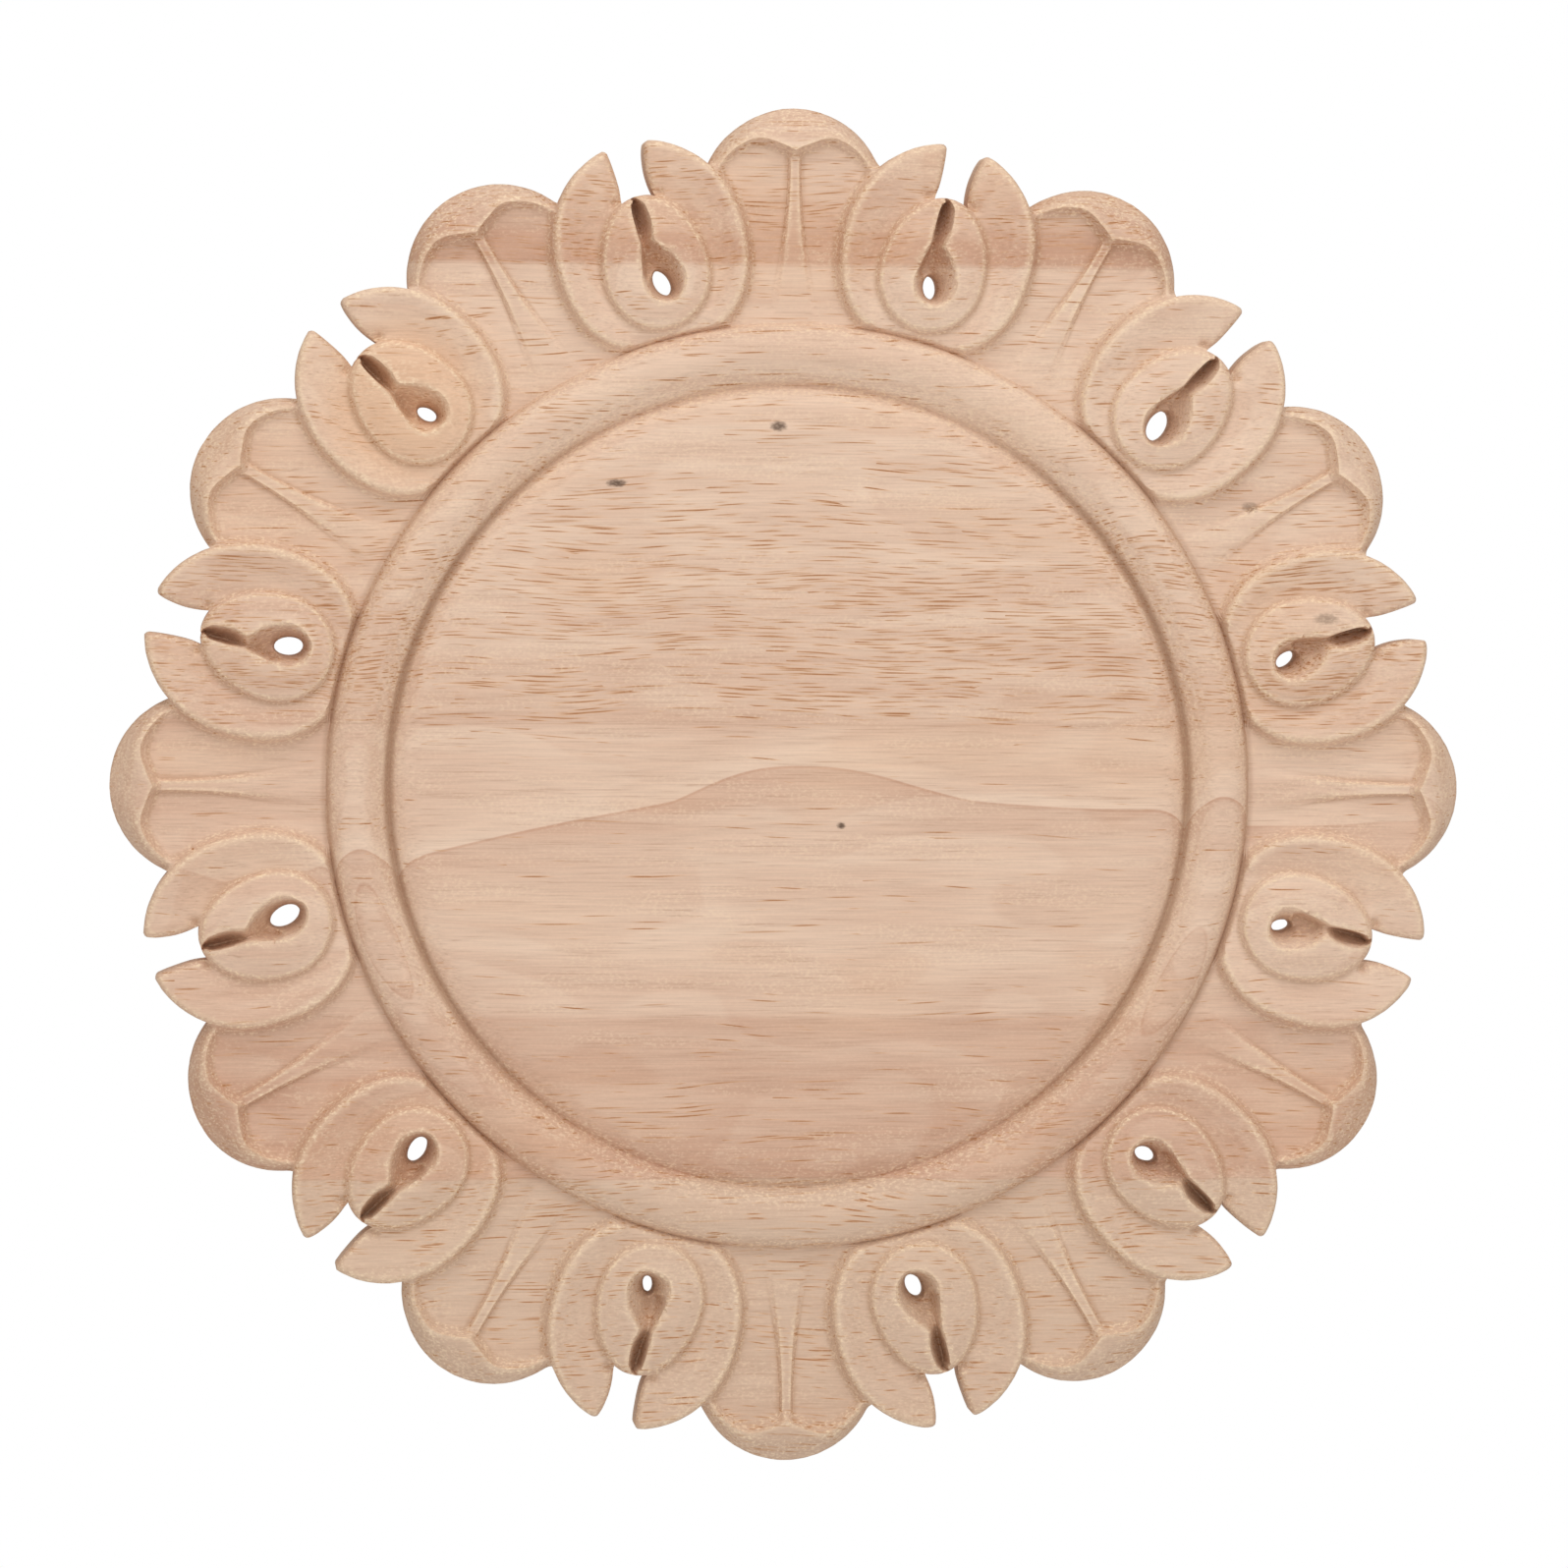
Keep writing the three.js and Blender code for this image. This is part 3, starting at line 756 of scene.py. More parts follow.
class Paint:
    """Lays out the shader nodes of one material by short calls."""

    def __init__(self, name):
        self.material = bpy.data.materials.new(name)
        self.material.use_nodes = True
        self.tree = self.material.node_tree
        self.shader = self.tree.nodes["Principled BSDF"]

    def feed(self, socket, value):
        if isinstance(value, bpy.types.NodeSocket):
            self.tree.links.new(value, socket)
        elif value is not None:
            socket.default_value = value

    def node(self, kind, *values, **settings):
        made = self.tree.nodes.new(kind)
        for name, value in settings.items():
            setattr(made, name, value)
        for socket, value in zip(made.inputs, values):
            self.feed(socket, value)
        return made

    def math(self, operation, *values, clamp=False):
        made = self.node("ShaderNodeMath", *values, operation=operation, use_clamp=clamp)
        return made.outputs[0]

    def plus(self, first, second):
        return self.math("ADD", first, second)

    def times(self, first, second):
        return self.math("MULTIPLY", first, second)

    def scaled(self, value, factor, added, clamp=False):
        """A value times a factor, with something added."""
        return self.math("MULTIPLY_ADD", value, factor, added, clamp=clamp)

    def size(self, value):
        return self.math("ABSOLUTE", value)

    def away(self, value, middle):
        """How far a value is from a middle one."""
        return self.size(self.math("SUBTRACT", value, middle))

    def most(self, *values):
        """The highest of several values."""
        highest = values[0]
        for value in values[1:]:
            highest = self.math("MAXIMUM", highest, value)
        return highest

    def vector(self, operation, *values):
        return self.node("ShaderNodeVectorMath", *values, operation=operation).outputs[0]

    def measure(self, operation, *values):
        """A vector calculation that gives one number."""
        made = self.node("ShaderNodeVectorMath", *values, operation=operation)
        return made.outputs["Value"]

    def resized(self, vector, factor):
        made = self.node("ShaderNodeVectorMath", vector, operation="SCALE")
        self.feed(made.inputs["Scale"], factor)
        return made.outputs[0]

    def joined(self, x=0.0, z=0.0):
        return self.node("ShaderNodeCombineXYZ", x, 0.0, z).outputs[0]

    def stretched(self, place, sizes):
        """Coordinates in which a pattern's features have these sizes, in millimetres."""
        return self.vector("MULTIPLY", place, tuple(1 / size for size in sizes))

    def noise(self, place, sizes, detail=2.0, roughness=0.5):
        made = self.node("ShaderNodeTexNoise")
        self.feed(made.inputs["Vector"], self.stretched(place, sizes))
        made.inputs["Scale"].default_value = 1.0
        made.inputs["Detail"].default_value = detail
        made.inputs["Roughness"].default_value = roughness
        return made.outputs[0]

    def spread(self, value, low, high, to_low=0.0, to_high=1.0):
        """A value's way from low to high, eased and clamped, carried to another span."""
        made = self.node("ShaderNodeMapRange", value, low, high, to_low, to_high,
                         interpolation_type="SMOOTHSTEP")
        return made.outputs[0]

    def ramp(self, value, stops):
        """A grey level that runs through stops of place and level."""
        made = self.node("ShaderNodeValToRGB", value)
        steps = made.color_ramp.elements
        while len(steps) < len(stops):
            steps.new(0.5)
        for step, (place, level) in zip(steps, stops):
            step.position = place
            step.color = (level, level, level, 1)
        return made.outputs[0]

    def mix(self, factor, first, second):
        made = self.node("ShaderNodeMix", data_type="RGBA")
        self.feed(made.inputs[0], factor)
        for socket, value in zip(made.inputs[6:8], (first, second)):
            self.feed(socket, (*value, 1) if isinstance(value, tuple) else value)
        return made.outputs[2]


# The rosette is cut from boards glued edge to edge: heights of the joints, and how pink the wood
# is up the piece, from cream at 0 to pink brown at 1
BOARD_JOINTS = (-86.7, 13.9, 115.1)
BOARD_SPAN = (-150.0, 150.0)
PINKNESS = (
    (-150, 0.85), (-126, 0.55), (-104, 0.3), (-87.2, 0.55), (-86.4, 0.95), (-72, 0.85),
    (-51.6, 0.7), (-50.4, 0.42), (-32, 0.12), (-18, 0.2), (-6, 0.26), (8, 0.2), (13.6, 0.3),
    (14.2, 0.45), (26, 0.36), (36, 0.28), (48, 0.2), (60, 0.12), (84, 0.08), (104, 0.12),
    (114.8, 0.18), (115.4, 1.35), (121, 1.15), (128, 0.6), (137, 0.32), (150, 0.3),
)
VESSEL_DENSITY = (
    (-150, 0.16), (-88, 0.18), (-84, 0.12), (-50, 0.03), (8, 0.02), (13, 0.05), (14.5, 0.24),
    (24, 0.46), (44, 0.4), (56, 0.22), (70, 0.12), (90, 0.13), (114, 0.12), (116, 0.24),
    (150, 0.18),
)

# One crisp growth line crosses the middle board: its course from left to right on the disc
GROWTH_LINE = (
    (-150, -24), (-82, -15), (-52, -8), (-26, -3.2), (-12, 3.8), (1, 5.4), (14, 4.9),
    (27, 0.8), (41, -3.4), (64, -4.4), (88, -4.6), (150, -5),
)
LINE_SPAN = (-30.0, 10.0)

# Small knots and stains: place across and up, half length, half height, depth of tone
SPECKS = (
    (-3.2, 79.8, 2.1, 1.3, 0.9),
    (-39.0, 67.0, 2.7, 1.0, 0.95),
    (11.2, -8.4, 1.1, 0.9, 0.95),
    (102.4, 62.6, 2.2, 1.3, 0.6),
    (119.0, 38.0, 3.4, 1.4, 0.5),
)


# Sizes of the wood's patterns along the grain, in depth and up: slow waves of the grain, figure,
# fibres, patches of vessels and curls of lifted fibre
WAVES = (60, 14, 24)
FIGURE = (90, 2.4, 4.2)
FIBRES = (13, 0.42, 0.36)
PATCHES = (34, 7, 6)
CURLS = (0.95, 0.56, 0.56)

# Vessels of three lengths: length and width of a vessel's cell, and its seed
VESSELS = ((22.0, 1.1, 3.7), (12.0, 0.88, 11.3), (7.0, 0.74, 23.9))

# Growth layers to a millimetre up the piece, to a millimetre of depth, and to a wave of the grain
LAYERS_UP = 0.035
LAYERS_DEEP = 0.42
LAYERS_WAVE = 5.0

# How far the crisp growth line moves for each millimetre of depth
LINE_TILT = 1.6
DISC_HEIGHT = TURNED_PROFILE[0][1]

# The loops on the ring: their middle and reach up the piece, their tilt, and the height they need
LOOP_MIDDLE = -38.5
LOOP_REACH = 12.0
LOOP_TILT = 0.05
LOOP_HEIGHT = 10.25

# The warmer cast over one bud: its middle, and how far it reaches and stays full
WARM_PLACE = (-86.0, 84.0)
WARM_REACH = 24
WARM_FULL = 5

# The two grooves, darkened by painted shade and by their rough end grain: radius, reach and depth of
# tone
GROOVE_SHADE_AND_END_GRAIN = ((88.9, 1.7, 1.0), (102.7, 1.5, 0.55))
BUMP_STRENGTH = 0.32


def wood_stops(rows, low=BOARD_SPAN[0], high=BOARD_SPAN[1], floor=0.0, ceiling=1.0):
    """Ramp stops from rows of place and level."""
    return [((place - low) / (high - low), (level - floor) / (ceiling - floor))
            for place, level in rows]


class WoodPaint(Paint):
    """Bare pale wood: glued boards with figure, vessels, knots, lifted fibres and painted edge
    highlight and shade.
    """

    def __init__(self, look):
        super().__init__("bare_wood")
        self.look = look
        given = self.node("ShaderNodeTexCoord")
        self.place = self.resized(given.outputs["Object"], 1 / MM)
        self.x, self.y, self.z = self.node("ShaderNodeSeparateXYZ", self.place).outputs
        normal = self.node("ShaderNodeSeparateXYZ", given.outputs["Normal"])
        self.sideways, self.facing, _ = normal.outputs
        self.radius = self.math("SQRT", self.scaled(self.x, self.x, self.times(self.z, self.z)))
        self.up = self.scaled(self.z, 1 / (BOARD_SPAN[1] - BOARD_SPAN[0]), 0.5)
        self.slope = self.spread(self.size(self.facing), 0.99, 0.78)
        self.ridge = self.node("ShaderNodeAttribute", attribute_name="ridge").outputs["Fac"]
        self.wave = self.math("SUBTRACT", self.noise(self.place, WAVES, 1), 0.5)
        self.patches = self.noise(self.place, PATCHES, 1)
        self.curls = self.noise(self.place, CURLS, 1, 0.7)
        rough = self.most(self.spread(self.patches, 0.5, 0.35, 0.1, 0.4),
                          self.scaled(self.slope, 0.75, 0.1))
        # Ridges also get more lifted fibres and roughness; the cream fibres there add to the painted
        # highlight.
        self.rough = self.scaled(self.spread(self.ridge, 0.1, 0.8), 0.4, rough, clamp=True)

    def tint(self, colour, factor, name):
        """Mixes one of the look's colours in."""
        return self.mix(factor, colour, tuple(getattr(self.look, name)))

    def from_spot(self, spot, halves=(1.0, 1.0)):
        """Square of the distance from a spot, measured in its half length and half height."""
        x = self.scaled(self.x, 1 / halves[0], -spot[0] / halves[0])
        z = self.scaled(self.z, 1 / halves[1], -spot[1] / halves[1])
        return self.scaled(x, x, self.times(z, z))

    def pinkness(self):
        """How pink the wood is: each board's own tone, growth layers and finer figure."""
        layer = self.scaled(self.wave, LAYERS_WAVE, self.times(self.y, LAYERS_DEEP))
        layer = self.math("FRACT", self.scaled(self.z, LAYERS_UP, layer))
        layer = self.times(self.spread(layer, 0.0, 0.12), self.spread(layer, 1.0, 0.12))
        pink = self.scaled(layer, 0.22, self.ramp(self.up, wood_stops(PINKNESS)))
        figure = self.noise(self.place, FIGURE)
        pink = self.plus(pink, self.spread(figure, 0.3, 0.7, -0.2, 0.16))
        return self.plus(pink, self.spread(self.x, -70, -130, 0.0, 0.22))

    def growth_line(self, pink):
        """The crisp line of the middle board: cream above it and pink brown below."""
        across = self.scaled(self.x, 1 / (BOARD_SPAN[1] - BOARD_SPAN[0]), 0.5)
        course = self.ramp(across, wood_stops(GROWTH_LINE, *BOARD_SPAN, *LINE_SPAN))
        course.node.color_ramp.interpolation = "B_SPLINE"
        course = self.scaled(course, LINE_SPAN[1] - LINE_SPAN[0], LINE_SPAN[0])
        tilt = self.scaled(self.y, LINE_TILT, LINE_TILT * DISC_HEIGHT)
        above = self.plus(self.math("SUBTRACT", self.z, course), tilt)
        above = self.scaled(self.wave, 2.5, above)
        low, high, _ = BOARD_JOINTS
        board = self.times(self.spread(self.z, low, low + 0.3),
                           self.spread(self.z, high, high - 0.3))
        board = self.times(board, self.spread(self.radius, 116, 92, 0.45, 1.0))
        below = self.times(self.spread(above, 0.15, -0.15), self.spread(above, -13, 0))
        crest = self.times(self.spread(above, -0.15, 0.15), self.spread(above, 8, 0))
        line = self.spread(self.away(above, -0.25), 0.5, 0.1)
        for part, depth in ((below, 0.42), (crest, -0.42), (line, 0.4)):
            pink = self.scaled(self.times(part, board), depth, pink)
        return pink

    def ring_loops(self, pink):
        """A growth layer that shows as a long loop on the ring's crest, left and right."""
        z = self.scaled(self.z, 1 / LOOP_REACH, -LOOP_MIDDLE / LOOP_REACH)
        along = self.scaled(self.x, LOOP_TILT / LOOP_REACH, z)
        crest = self.scaled(self.y, -1.0, -LOOP_HEIGHT)
        loop = self.scaled(self.times(along, along), -1.0, crest)
        inside = self.times(self.spread(loop, -0.06, 0.06), 0.28)
        edge = self.times(self.spread(self.size(loop), 0.14, 0.02), 0.35)
        return self.scaled(self.plus(inside, edge), self.spread(self.radius, 103, 102), pink)

    def boards(self, pink):
        """The boards' colour, with a warmer cast in places and a greyer yellow bottom board."""
        pink = self.most(self.math("MINIMUM", pink, 1.4), -0.1)
        colour = self.mix(None, tuple(self.look.cream), tuple(self.look.pink_brown))
        colour.node.clamp_factor = False
        self.feed(colour.node.inputs[0], pink)
        patch = self.spread(self.from_spot(WARM_PLACE), WARM_REACH ** 2, WARM_FULL ** 2, 0.0, 0.7)
        cast = self.most(patch, self.spread(self.wave, 0.0, 0.18, 0.0, 0.2))
        colour = self.tint(colour, cast, "warm")
        bottom = self.spread(self.z, BOARD_JOINTS[0], BOARD_JOINTS[0] - 0.3, 0.0, 0.6)
        return self.tint(colour, bottom, "bottom_board")

    def fibres(self, colour):
        """Fibres along the grain, and hairlines where they gather."""
        fibre = self.noise(self.place, FIBRES, 2, 0.62)
        colour = self.resized(colour, self.spread(fibre, 0.25, 0.75, 0.925, 1.075))
        return self.tint(colour, self.spread(fibre, 0.38, 0.27, 0.0, 0.4), "hairline")

    def dashes(self, place, length, width, seed, density):
        """Dashes along the grain, one to a cell at most, as the depth of their halo and core."""
        cells = self.vector("ADD", self.stretched(place, (length, width, width)),
                            (seed, seed * 1.7, seed * 2.3))
        row = self.vector("FLOOR", self.vector("MULTIPLY", cells, (0, 1, 1)))
        shift = self.node("ShaderNodeTexWhiteNoise", row).outputs["Value"]
        slid = self.vector("ADD", cells, self.joined(self.times(shift, 31.0)))
        chance = self.node("ShaderNodeTexWhiteNoise", self.vector("FLOOR", slid)).outputs["Color"]
        chosen, lean, strength = self.node("ShaderNodeSeparateColor", chance).outputs
        inside = self.vector("SUBTRACT", self.vector("FRACTION", slid), (0.5, 0.5, 0.5))
        jitter = self.vector("MULTIPLY", self.vector("SUBTRACT", chance, (0.5, 0.5, 0.5)),
                             (0.3, 0.2, 0.4))
        off = self.vector("SUBTRACT", inside, jitter)
        along = self.measure("DOT_PRODUCT", off, (1.0, 0.0, 0.0))
        tilt = self.times(along, self.scaled(lean, 0.7, -0.35))
        off = self.vector("ADD", off, self.joined(z=tilt))
        away = self.measure("LENGTH", self.vector("MULTIPLY", off, (2.7, 1.5, 4.9)))
        chosen = self.math("LESS_THAN", chosen, density)
        depth = self.times(chosen, self.scaled(strength, 0.6, 0.4))
        return (self.times(self.spread(away, 1.25, 0.3), depth),
                self.times(self.spread(away, 0.9, 0.35), depth))

    def vessels(self, colour):
        """Brown dashes in an orange halo, seen as dots where the carving crosses them."""
        density = self.times(self.ramp(self.up, wood_stops(VESSEL_DENSITY)),
                             self.spread(self.patches, 0.36, 0.62, 0.45, 2.2))
        flowing = self.vector("ADD", self.place, self.joined(z=self.times(self.wave, 9.0)))
        layers = [self.dashes(flowing, *sizes, density) for sizes in VESSELS]
        halo, core = (self.most(*values) for values in zip(*layers))
        colour = self.tint(colour, self.times(halo, 0.75), "vessel_halo")
        return self.tint(colour, core, "vessel")

    def specks(self, colour):
        """Small knots and stains with a ragged edge."""
        ragged = self.times(self.curls, 0.9)
        spots = []
        for x, z, half_length, half_height, depth in SPECKS:
            away = self.from_spot((x, z), (half_length, half_height))
            spots.append(self.spread(self.plus(away, ragged), 1.6, 0.35, 0.0, depth))
        return self.tint(colour, self.most(*spots), "knot")

    def fuzz_and_ridge_highlight(self, colour):
        """Cream curls of lifted fibre, thick on slopes and ridges and thin on the sanded flats, with
        a painted highlight along the ridges and painted shade in the furrows.
        """
        lifted = self.times(self.spread(self.curls, 0.5, 0.68), self.rough)
        # Painted highlight: cream laid along every ridge, over the lifted fibres.
        lifted = self.scaled(self.spread(self.ridge, 0.15, 0.9), 0.28, self.times(lifted, 0.7),
                             clamp=True)
        hollow = self.times(self.spread(self.curls, 0.45, 0.28), self.rough)
        # Painted shade: darker in the furrows, where the ridge share is below zero.
        colour = self.tint(colour, self.spread(self.ridge, -0.2, -1.0, 0.0, 0.3), "painted_furrow_shade")
        colour = self.tint(colour, lifted, "fuzz_and_ridge_highlight")
        return self.tint(colour, self.times(hollow, 0.22), "hollow")

    def end_grain(self, colour):
        """Darker end grain; in the turned grooves, painted shade with their rough end grain, darkest
        where they cross the grain.
        """
        ends = self.spread(self.size(self.sideways), 0.2, 0.7, 0.0, 0.2)
        colour = self.tint(colour, ends, "end_grain")
        # Painted shade in the grooves, on front faces only, mixed with their rough end grain.
        groove = self.most(*(self.spread(self.away(self.radius, middle), reach, 0.3, 0.0, depth)
                             for middle, reach, depth in GROOVE_SHADE_AND_END_GRAIN))
        groove = self.times(groove, self.spread(self.facing, 0.2, -0.2))
        crossing = self.size(self.math("DIVIDE", self.x, self.radius))
        crossing = self.scaled(self.spread(crossing, 0.35, 0.95), 0.5, 0.04)
        return self.tint(colour, self.times(groove, crossing), "groove")

    def joints(self, colour):
        """The faint lines where the boards are glued."""
        for joint in BOARD_JOINTS:
            line = self.spread(self.away(self.z, joint), 0.25, 0.05, 0.0, 0.16)
            colour = self.tint(colour, line, "joint")
        return colour


def wood_material(look):
    """The rosette's one finish, from the boards' colour up to the lifted fibres, with painted
    highlight and shade.
    """
    paint = WoodPaint(look)
    colour = paint.boards(paint.ring_loops(paint.growth_line(paint.pinkness())))
    for coat in (paint.fibres, paint.vessels, paint.specks, paint.fuzz_and_ridge_highlight, paint.end_grain,
                 paint.joints):
        colour = coat(colour)
    paint.feed(paint.shader.inputs["Base Color"], colour)
    roughness = paint.scaled(paint.rough, 0.2, look.roughness, clamp=True)
    paint.feed(paint.shader.inputs["Roughness"], roughness)
    bump = paint.node("ShaderNodeBump")
    bump.inputs["Strength"].default_value = BUMP_STRENGTH
    bump.inputs["Distance"].default_value = look.fuzz_height
    paint.feed(bump.inputs["Height"], paint.times(paint.curls, paint.slope))
    paint.feed(paint.shader.inputs["Normal"], bump.outputs[0])
    return paint.material


def habit(place):
    """Moves one place of the carving to the form of its own bud's opening."""
    x, y, z = place
    step = 2 * math.pi / REPEATS
    bud = int(math.atan2(x, z) % (2 * math.pi) // step) % REPEATS
    across, along = math.cos((bud + 0.5) * step), math.sin((bud + 0.5) * step)
    u, v = x * across - z * along, x * along + z * across
    size, saddle = BUD_HABITS[bud]
    off_u, off_v = u - HOLE_CENTRE[0], v - HOLE_CENTRE[1]
    reach = HOLE["outward"] if off_v > 0 else HOLE["inward"]
    share = math.hypot(off_u / HOLE["half_width"], off_v / reach)
    near = min(max((HOLE_REACH[0] - share) / (HOLE_REACH[0] - HOLE_REACH[1]), 0), 1)
    u += (off_u * (size - 1) - off_v * HOLE_LEAN) * near
    v += off_v * (size - 1) * near
    if y < -FRONT_DEPTH:
        lift = math.exp(-sum(((at - middle) / spread) ** 2 for at, middle, spread
                             in zip((u, v), SADDLE_PLACE, SADDLE_SPREAD)))
        room = min(max((SADDLE_TOP + y) / 2, 0), 1)
        place[1] = y - (saddle - USUAL_SADDLE) * SADDLE_LIFT * lift * room
    place[0], place[2] = u * across + v * along, v * across - u * along


def uneven(waves, x, z):
    """A smooth unevenness over the plan, the sum of some waves."""
    return sum(noise.noise((x / spacing, seed, z / spacing)) * depth
               for spacing, depth, seed in waves)


def work_by_hand(mesh, handwork):
    """Gives the carving the small unevenness of handwork. The disc and the ring stay truer."""
    places = np.empty(len(mesh.vertices) * 3)
    mesh.vertices.foreach_get("co", places)
    places = places.reshape(-1, 3) / MM
    for place in places:
        habit(place)
        x, y, z = place
        radius = math.hypot(x, z)
        carved = min(max((radius - CARVED_FROM) / CARVED_RUN, 0.0), 1.0)
        if y < -FRONT_DEPTH:
            wave = uneven(FRONT_WAVES, x, z) * handwork
            wave *= TURNED_SHARE + (1 - TURNED_SHARE) * carved
            place[1] = max(y + wave, -TOP_HEIGHT)
        inward = max(EDGE_LOSS + uneven(EDGE_WAVES, x, z), 0) * carved * handwork
        for at_x, at_z, reach, depth in CHIPS:
            near = math.exp(-((x - at_x) ** 2 + (z - at_z) ** 2) / reach ** 2)
            inward += near * depth * (0.5 + uneven(CHIP_WAVES, x, z))
        place[0] -= x / max(radius, 1) * inward
        place[2] -= z / max(radius, 1) * inward
    mesh.vertices.foreach_set("co", (places * MM).ravel())
    mesh.update()


def build_rosette(look):
    """The whole carving as one mesh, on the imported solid's place."""
    source = bpy.data.objects.new("carved_sector", sector_mesh())
    bpy.context.collection.objects.link(source)
    tree, sockets = rosette_tree()
    modifier = source.modifiers.new("Repeat", "NODES")
    modifier.node_group = tree
    modifier[sockets["repeats"]] = REPEATS
    modifier[sockets["seam"]] = SEAM_DISTANCE
    modifier[sockets["wood"]] = wood_material(look)
    shaped = source.evaluated_get(bpy.context.evaluated_depsgraph_get())
    mesh = bpy.data.meshes.new_from_object(shaped)
    bpy.data.objects.remove(source)
    mesh.name = "carved_rosette"
    work_by_hand(mesh, look.handwork)
    mesh.shade_smooth()
    mesh.set_sharp_from_angle(angle=look.crease_angle)
    piece = bpy.data.objects.new("carved_rosette", mesh)
    bpy.context.collection.objects.link(piece)
    return piece


def point_at(thing, target, roll=0.0):
    """Turns a lamp or camera to look at a point."""
    way = Vector(target) - thing.location
    turn = way.to_track_quat("-Z", "Y").to_matrix().to_4x4()
    thing.rotation_euler = turn.to_euler()
    if roll:
        thing.rotation_euler.rotate_axis("Z", roll)


def colour_property(name, description, default):
    return bpy.props.FloatVectorProperty(
        name=name, description=description, default=default, size=3, min=0, max=1,
        subtype="COLOR")


class APPLIQUE_PG_look(bpy.types.PropertyGroup):
    """The rosette's finish."""

    cream: colour_property("Cream", "Colour of the palest wood", (0.768, 0.547, 0.4))
    pink_brown: colour_property(
        "Pink brown", "Colour of the darker growth layers", (0.63, 0.388, 0.265))
    warm: colour_property("Warm cast", "Colour of the warmer patches", (0.735, 0.445, 0.265))
    bottom_board: colour_property(
        "Bottom board", "Greyer yellow of the lowest board", (0.635, 0.45, 0.318))
    hairline: colour_property(
        "Hairlines", "Colour of the lines where fibres gather", (0.48, 0.25, 0.145))
    vessel: colour_property(
        "Vessels", "Colour of the short brown dashes along the grain", (0.36, 0.13, 0.035))
    vessel_halo: colour_property(
        "Vessel halo", "Orange stain round the vessels", (0.68, 0.34, 0.13))
    knot: colour_property("Knots", "Colour of the small knots and stains", (0.1, 0.05, 0.025))
    # This colour also paints the highlight along the ridges.
    fuzz_and_ridge_highlight: colour_property(
        "Fuzz", "Colour of the lifted fibres on carved slopes", (0.9, 0.68, 0.46))
    hollow: colour_property("Hollows", "Shade between the lifted fibres", (0.4, 0.22, 0.12))
    # Painted shade laid in the carved furrows.
    painted_furrow_shade: colour_property("Furrows", "Shade in the carved furrows", (0.42, 0.23, 0.12))
    end_grain: colour_property("End grain", "Colour of the cut ends", (0.46, 0.26, 0.14))
    # Painted shade in the turned grooves, together with their rough end grain.
    groove: colour_property(
        "Grooves", "Colour of the turned grooves across the grain", (0.3, 0.15, 0.075))
    joint: colour_property("Joints", "Colour of the glued joints", (0.36, 0.2, 0.12))
    roughness: bpy.props.FloatProperty(
        name="Roughness", description="Roughness of the sanded wood",
        default=0.62, min=0, max=1, subtype="FACTOR")
    fuzz_height: bpy.props.FloatProperty(
        name="Fuzz height", description="Height of the lifted fibres",
        default=0.14 * MM, min=0, max=MM, precision=5, unit="LENGTH")
    handwork: bpy.props.FloatProperty(
        name="Handwork", description="Share of the small unevenness left by the tools",
        default=1.0, min=0, max=2, subtype="FACTOR")
    crease_angle: bpy.props.FloatProperty(
        name="Crease angle", description="Edges sharper than this stay crisp",
        default=math.radians(38), min=0, max=math.pi, subtype="ANGLE")


class APPLIQUE_PG_studio(bpy.types.PropertyGroup):
    """Camera, light and floor."""

    distance: bpy.props.FloatProperty(
        name="Camera distance", description="From the lens to the rosette",
        default=1.5, min=0.5, unit="LENGTH")
    azimuth: bpy.props.FloatProperty(
        name="Camera azimuth", description="Turn of the camera about the upright axis",
        default=math.radians(-5.3), subtype="ANGLE")
    elevation: bpy.props.FloatProperty(
        name="Camera elevation", description="Height of the camera over the level",
        default=math.radians(2.3), subtype="ANGLE")
    roll: bpy.props.FloatProperty(
        name="Camera roll", description="Turn of the camera about its own axis",
        default=math.radians(0.4), subtype="ANGLE")
    frame_width: bpy.props.FloatProperty(
        name="Frame width", description="Width of the view at the rosette",
        default=0.349, min=0.1, unit="LENGTH")
    key_power: bpy.props.FloatProperty(
        name="Key power", description="Power of the lamp over the camera, in watts",
        default=5.7, min=0, unit="POWER")
    front_power: bpy.props.FloatProperty(
        name="Front power", description="Power of the lamp behind the camera, in watts",
        default=4.0, min=0, unit="POWER")
    sky: bpy.props.FloatProperty(
        name="Sky", description="Strength of the even light from all round",
        default=0.62, min=0, max=2, subtype="FACTOR")


# The studio, in metres, and the camera's sensor in millimetres
SENSOR_WIDTH = 36
LAMP_SIZE = 0.9
KEY_PLACE = (0.0, -0.75, 0.95)
FRONT_PLACE = (0.0, -1.7, 0.3)
FRAME_MIDDLE = (-0.00063, 0, 0.00042)
FLOOR_REACH = 1.4
FLOOR_LEVEL = -0.45


def add_camera(scene, studio):
    """The camera at the photograph's angle."""
    camera = bpy.data.objects.new("camera", bpy.data.cameras.new("camera"))
    bpy.context.collection.objects.link(camera)
    a, e = studio.azimuth, studio.elevation
    back = Vector((math.sin(a) * math.cos(e), -math.cos(a) * math.cos(e), math.sin(e)))
    camera.location = back * studio.distance
    point_at(camera, FRAME_MIDDLE, studio.roll)
    camera.data.sensor_width = SENSOR_WIDTH
    camera.data.lens = SENSOR_WIDTH * studio.distance / studio.frame_width
    scene.camera = camera
    scene.view_settings.view_transform = "Standard"


def add_soft_box(name, place, power):
    """A square lamp that looks at the rosette."""
    lamp = bpy.data.objects.new(name, bpy.data.lights.new(name, "AREA"))
    bpy.context.collection.objects.link(lamp)
    lamp.location = place
    lamp.data.size = LAMP_SIZE
    lamp.data.energy = power
    point_at(lamp, (0, 0, 0))


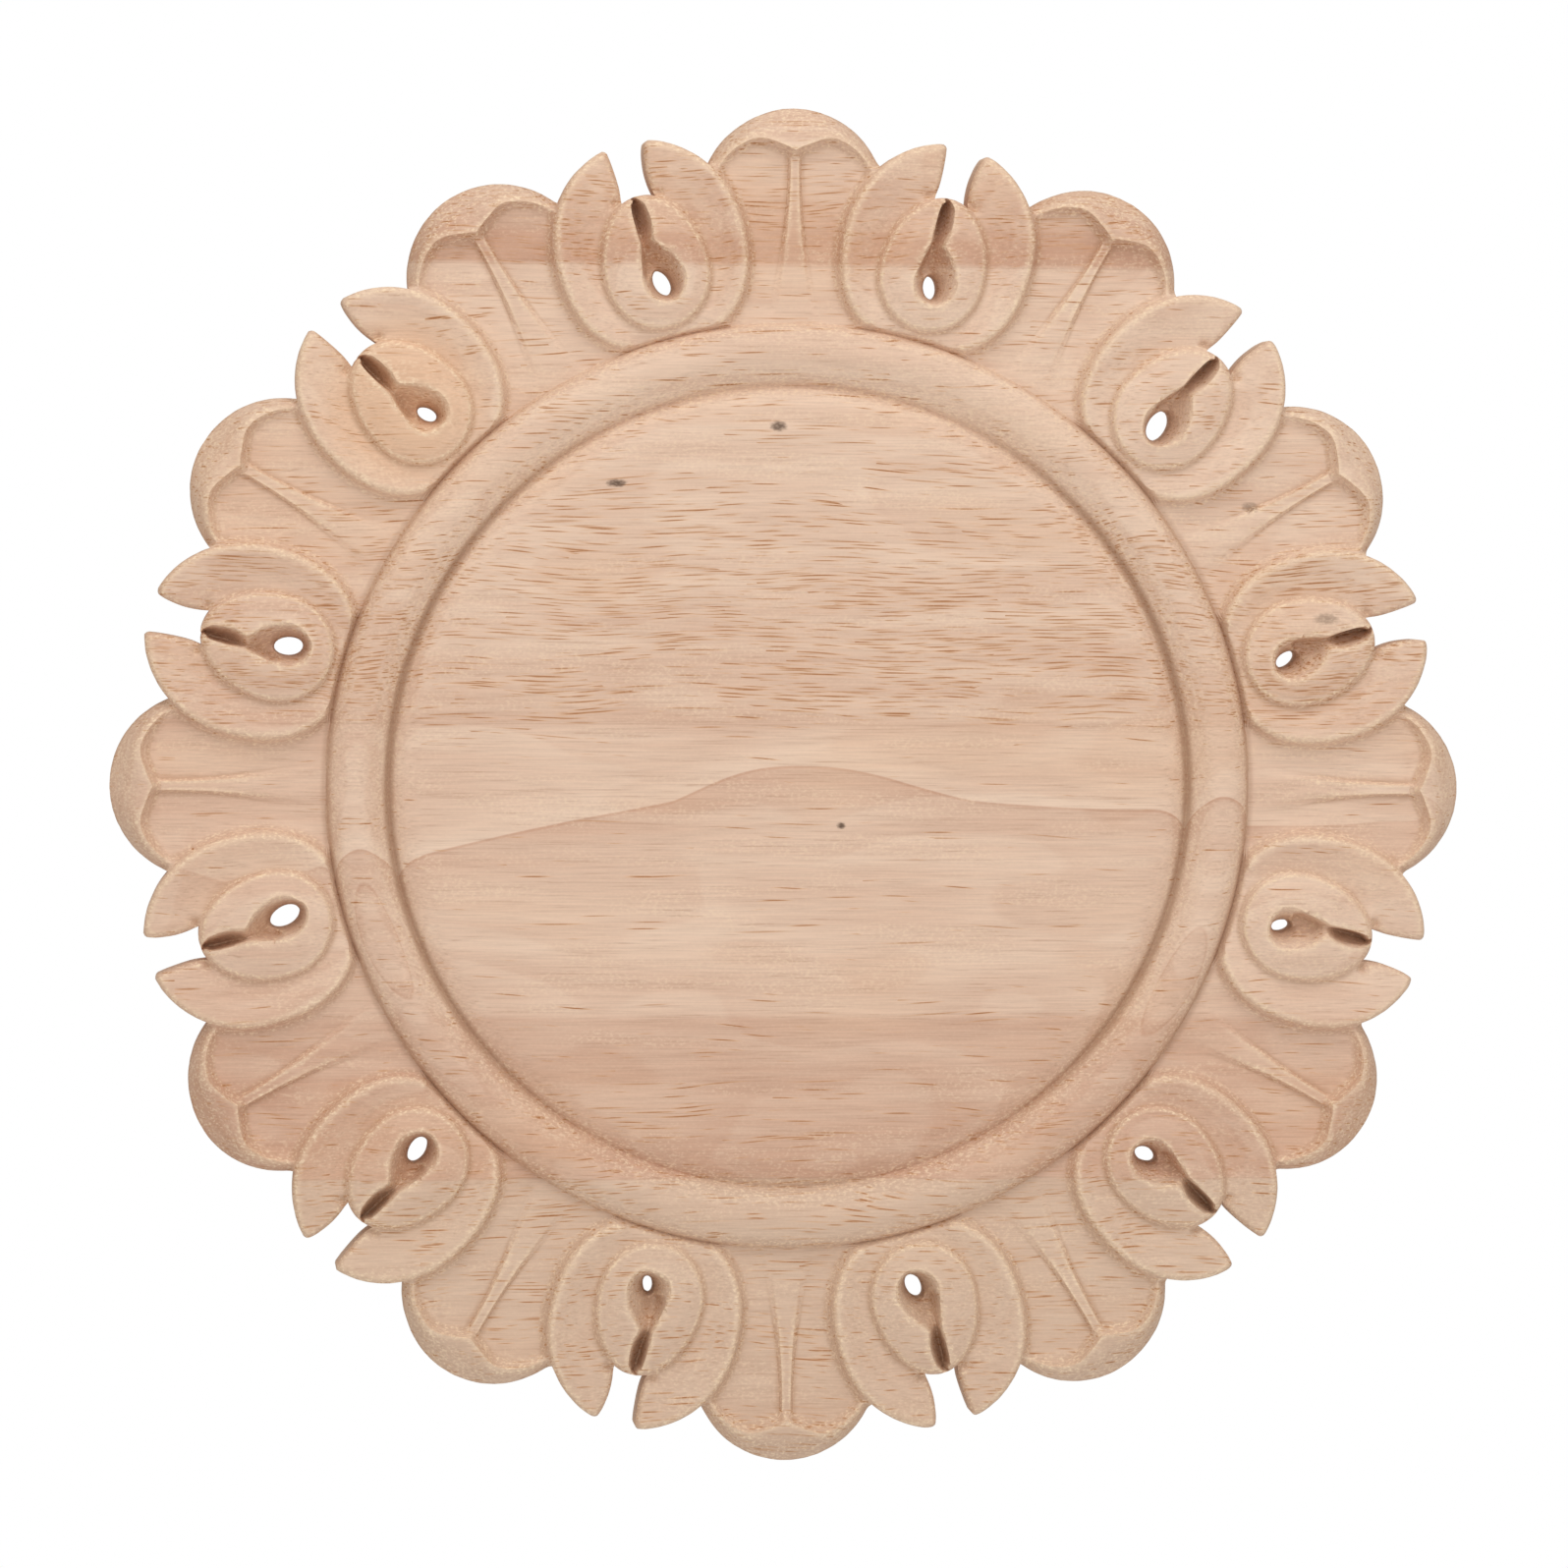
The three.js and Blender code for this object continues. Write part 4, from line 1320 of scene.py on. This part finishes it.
def add_world(scene, strength):
    """Even light from all round, behind a background seen as white."""
    world = bpy.data.worlds.new("studio")
    scene.world = world
    world.use_nodes = True
    tree = world.node_tree
    path = tree.nodes.new("ShaderNodeLightPath")
    mix = tree.nodes.new("ShaderNodeMixShader")
    seen = tree.nodes.new("ShaderNodeBackground")
    lit = tree.nodes["Background"]
    seen.inputs["Color"].default_value = (1, 1, 1, 1)
    lit.inputs["Color"].default_value = (0.96, 0.98, 1, 1)
    lit.inputs["Strength"].default_value = strength
    for start, end in (
        (path.outputs["Is Camera Ray"], mix.inputs[0]),
        (lit.outputs[0], mix.inputs[1]),
        (seen.outputs[0], mix.inputs[2]),
        (mix.outputs[0], tree.nodes["World Output"].inputs[0]),
    ):
        tree.links.new(start, end)


def add_floor():
    """The pale floor below the rosette."""
    corners = ((-1, -1), (1, -1), (1, 1), (-1, 1))
    mesh = bpy.data.meshes.new("floor")
    mesh.from_pydata([(x * FLOOR_REACH, y * FLOOR_REACH, FLOOR_LEVEL) for x, y in corners],
                     [], [(0, 1, 2, 3)])
    floor = bpy.data.objects.new("floor", mesh)
    bpy.context.collection.objects.link(floor)
    paint = Paint("pale_floor")
    paint.feed(paint.shader.inputs["Base Color"], (0.9, 0.9, 0.9, 1))
    paint.feed(paint.shader.inputs["Roughness"], 0.9)
    mesh.materials.append(paint.material)


def build_studio(scene, studio):
    """The camera, a soft key from above, a front lamp, the even light and the floor."""
    add_camera(scene, studio)
    add_soft_box("key", KEY_PLACE, studio.key_power)
    add_soft_box("front", FRONT_PLACE, studio.front_power)
    add_world(scene, studio.sky)
    add_floor()


class APPLIQUE_OT_rosette(bpy.types.Operator):
    """Build the carved rosette in place of the plain solid"""

    bl_idname = "applique.rosette"
    bl_label = "Carved Rosette"

    def execute(self, context):
        piece = build_rosette(context.scene.applique_look)
        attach(piece, "root")
        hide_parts("applique")
        return {"FINISHED"}


class APPLIQUE_OT_studio(bpy.types.Operator):
    """Set the camera, the soft lights and the pale floor"""

    bl_idname = "applique.studio"
    bl_label = "Studio"

    def execute(self, context):
        build_studio(context.scene, context.scene.applique_studio)
        return {"FINISHED"}


class APPLIQUE_PT_sidebar(bpy.types.Panel):
    """Lists the steps that build the applique"""

    bl_label = "Applique"
    bl_idname = "APPLIQUE_PT_sidebar"
    bl_space_type = "VIEW_3D"
    bl_region_type = "UI"
    bl_category = "Applique"

    def draw(self, context):
        for holder in (context.scene.applique_look, context.scene.applique_studio):
            for name in type(holder).__annotations__:
                self.layout.prop(holder, name)
        self.layout.operator(APPLIQUE_OT_rosette.bl_idname)
        self.layout.operator(APPLIQUE_OT_studio.bl_idname)


CLASSES = (
    APPLIQUE_PG_look,
    APPLIQUE_PG_studio,
    APPLIQUE_OT_rosette,
    APPLIQUE_OT_studio,
    APPLIQUE_PT_sidebar,
)


def register():
    for cls in CLASSES:
        bpy.utils.register_class(cls)
    bpy.types.Scene.applique_look = bpy.props.PointerProperty(type=APPLIQUE_PG_look)
    bpy.types.Scene.applique_studio = bpy.props.PointerProperty(type=APPLIQUE_PG_studio)


def unregister():
    del bpy.types.Scene.applique_studio
    del bpy.types.Scene.applique_look
    for cls in reversed(CLASSES):
        bpy.utils.unregister_class(cls)


def main():
    register()
    bpy.ops.applique.rosette()
    bpy.ops.applique.studio()


if __name__ == "__main__":
    main()
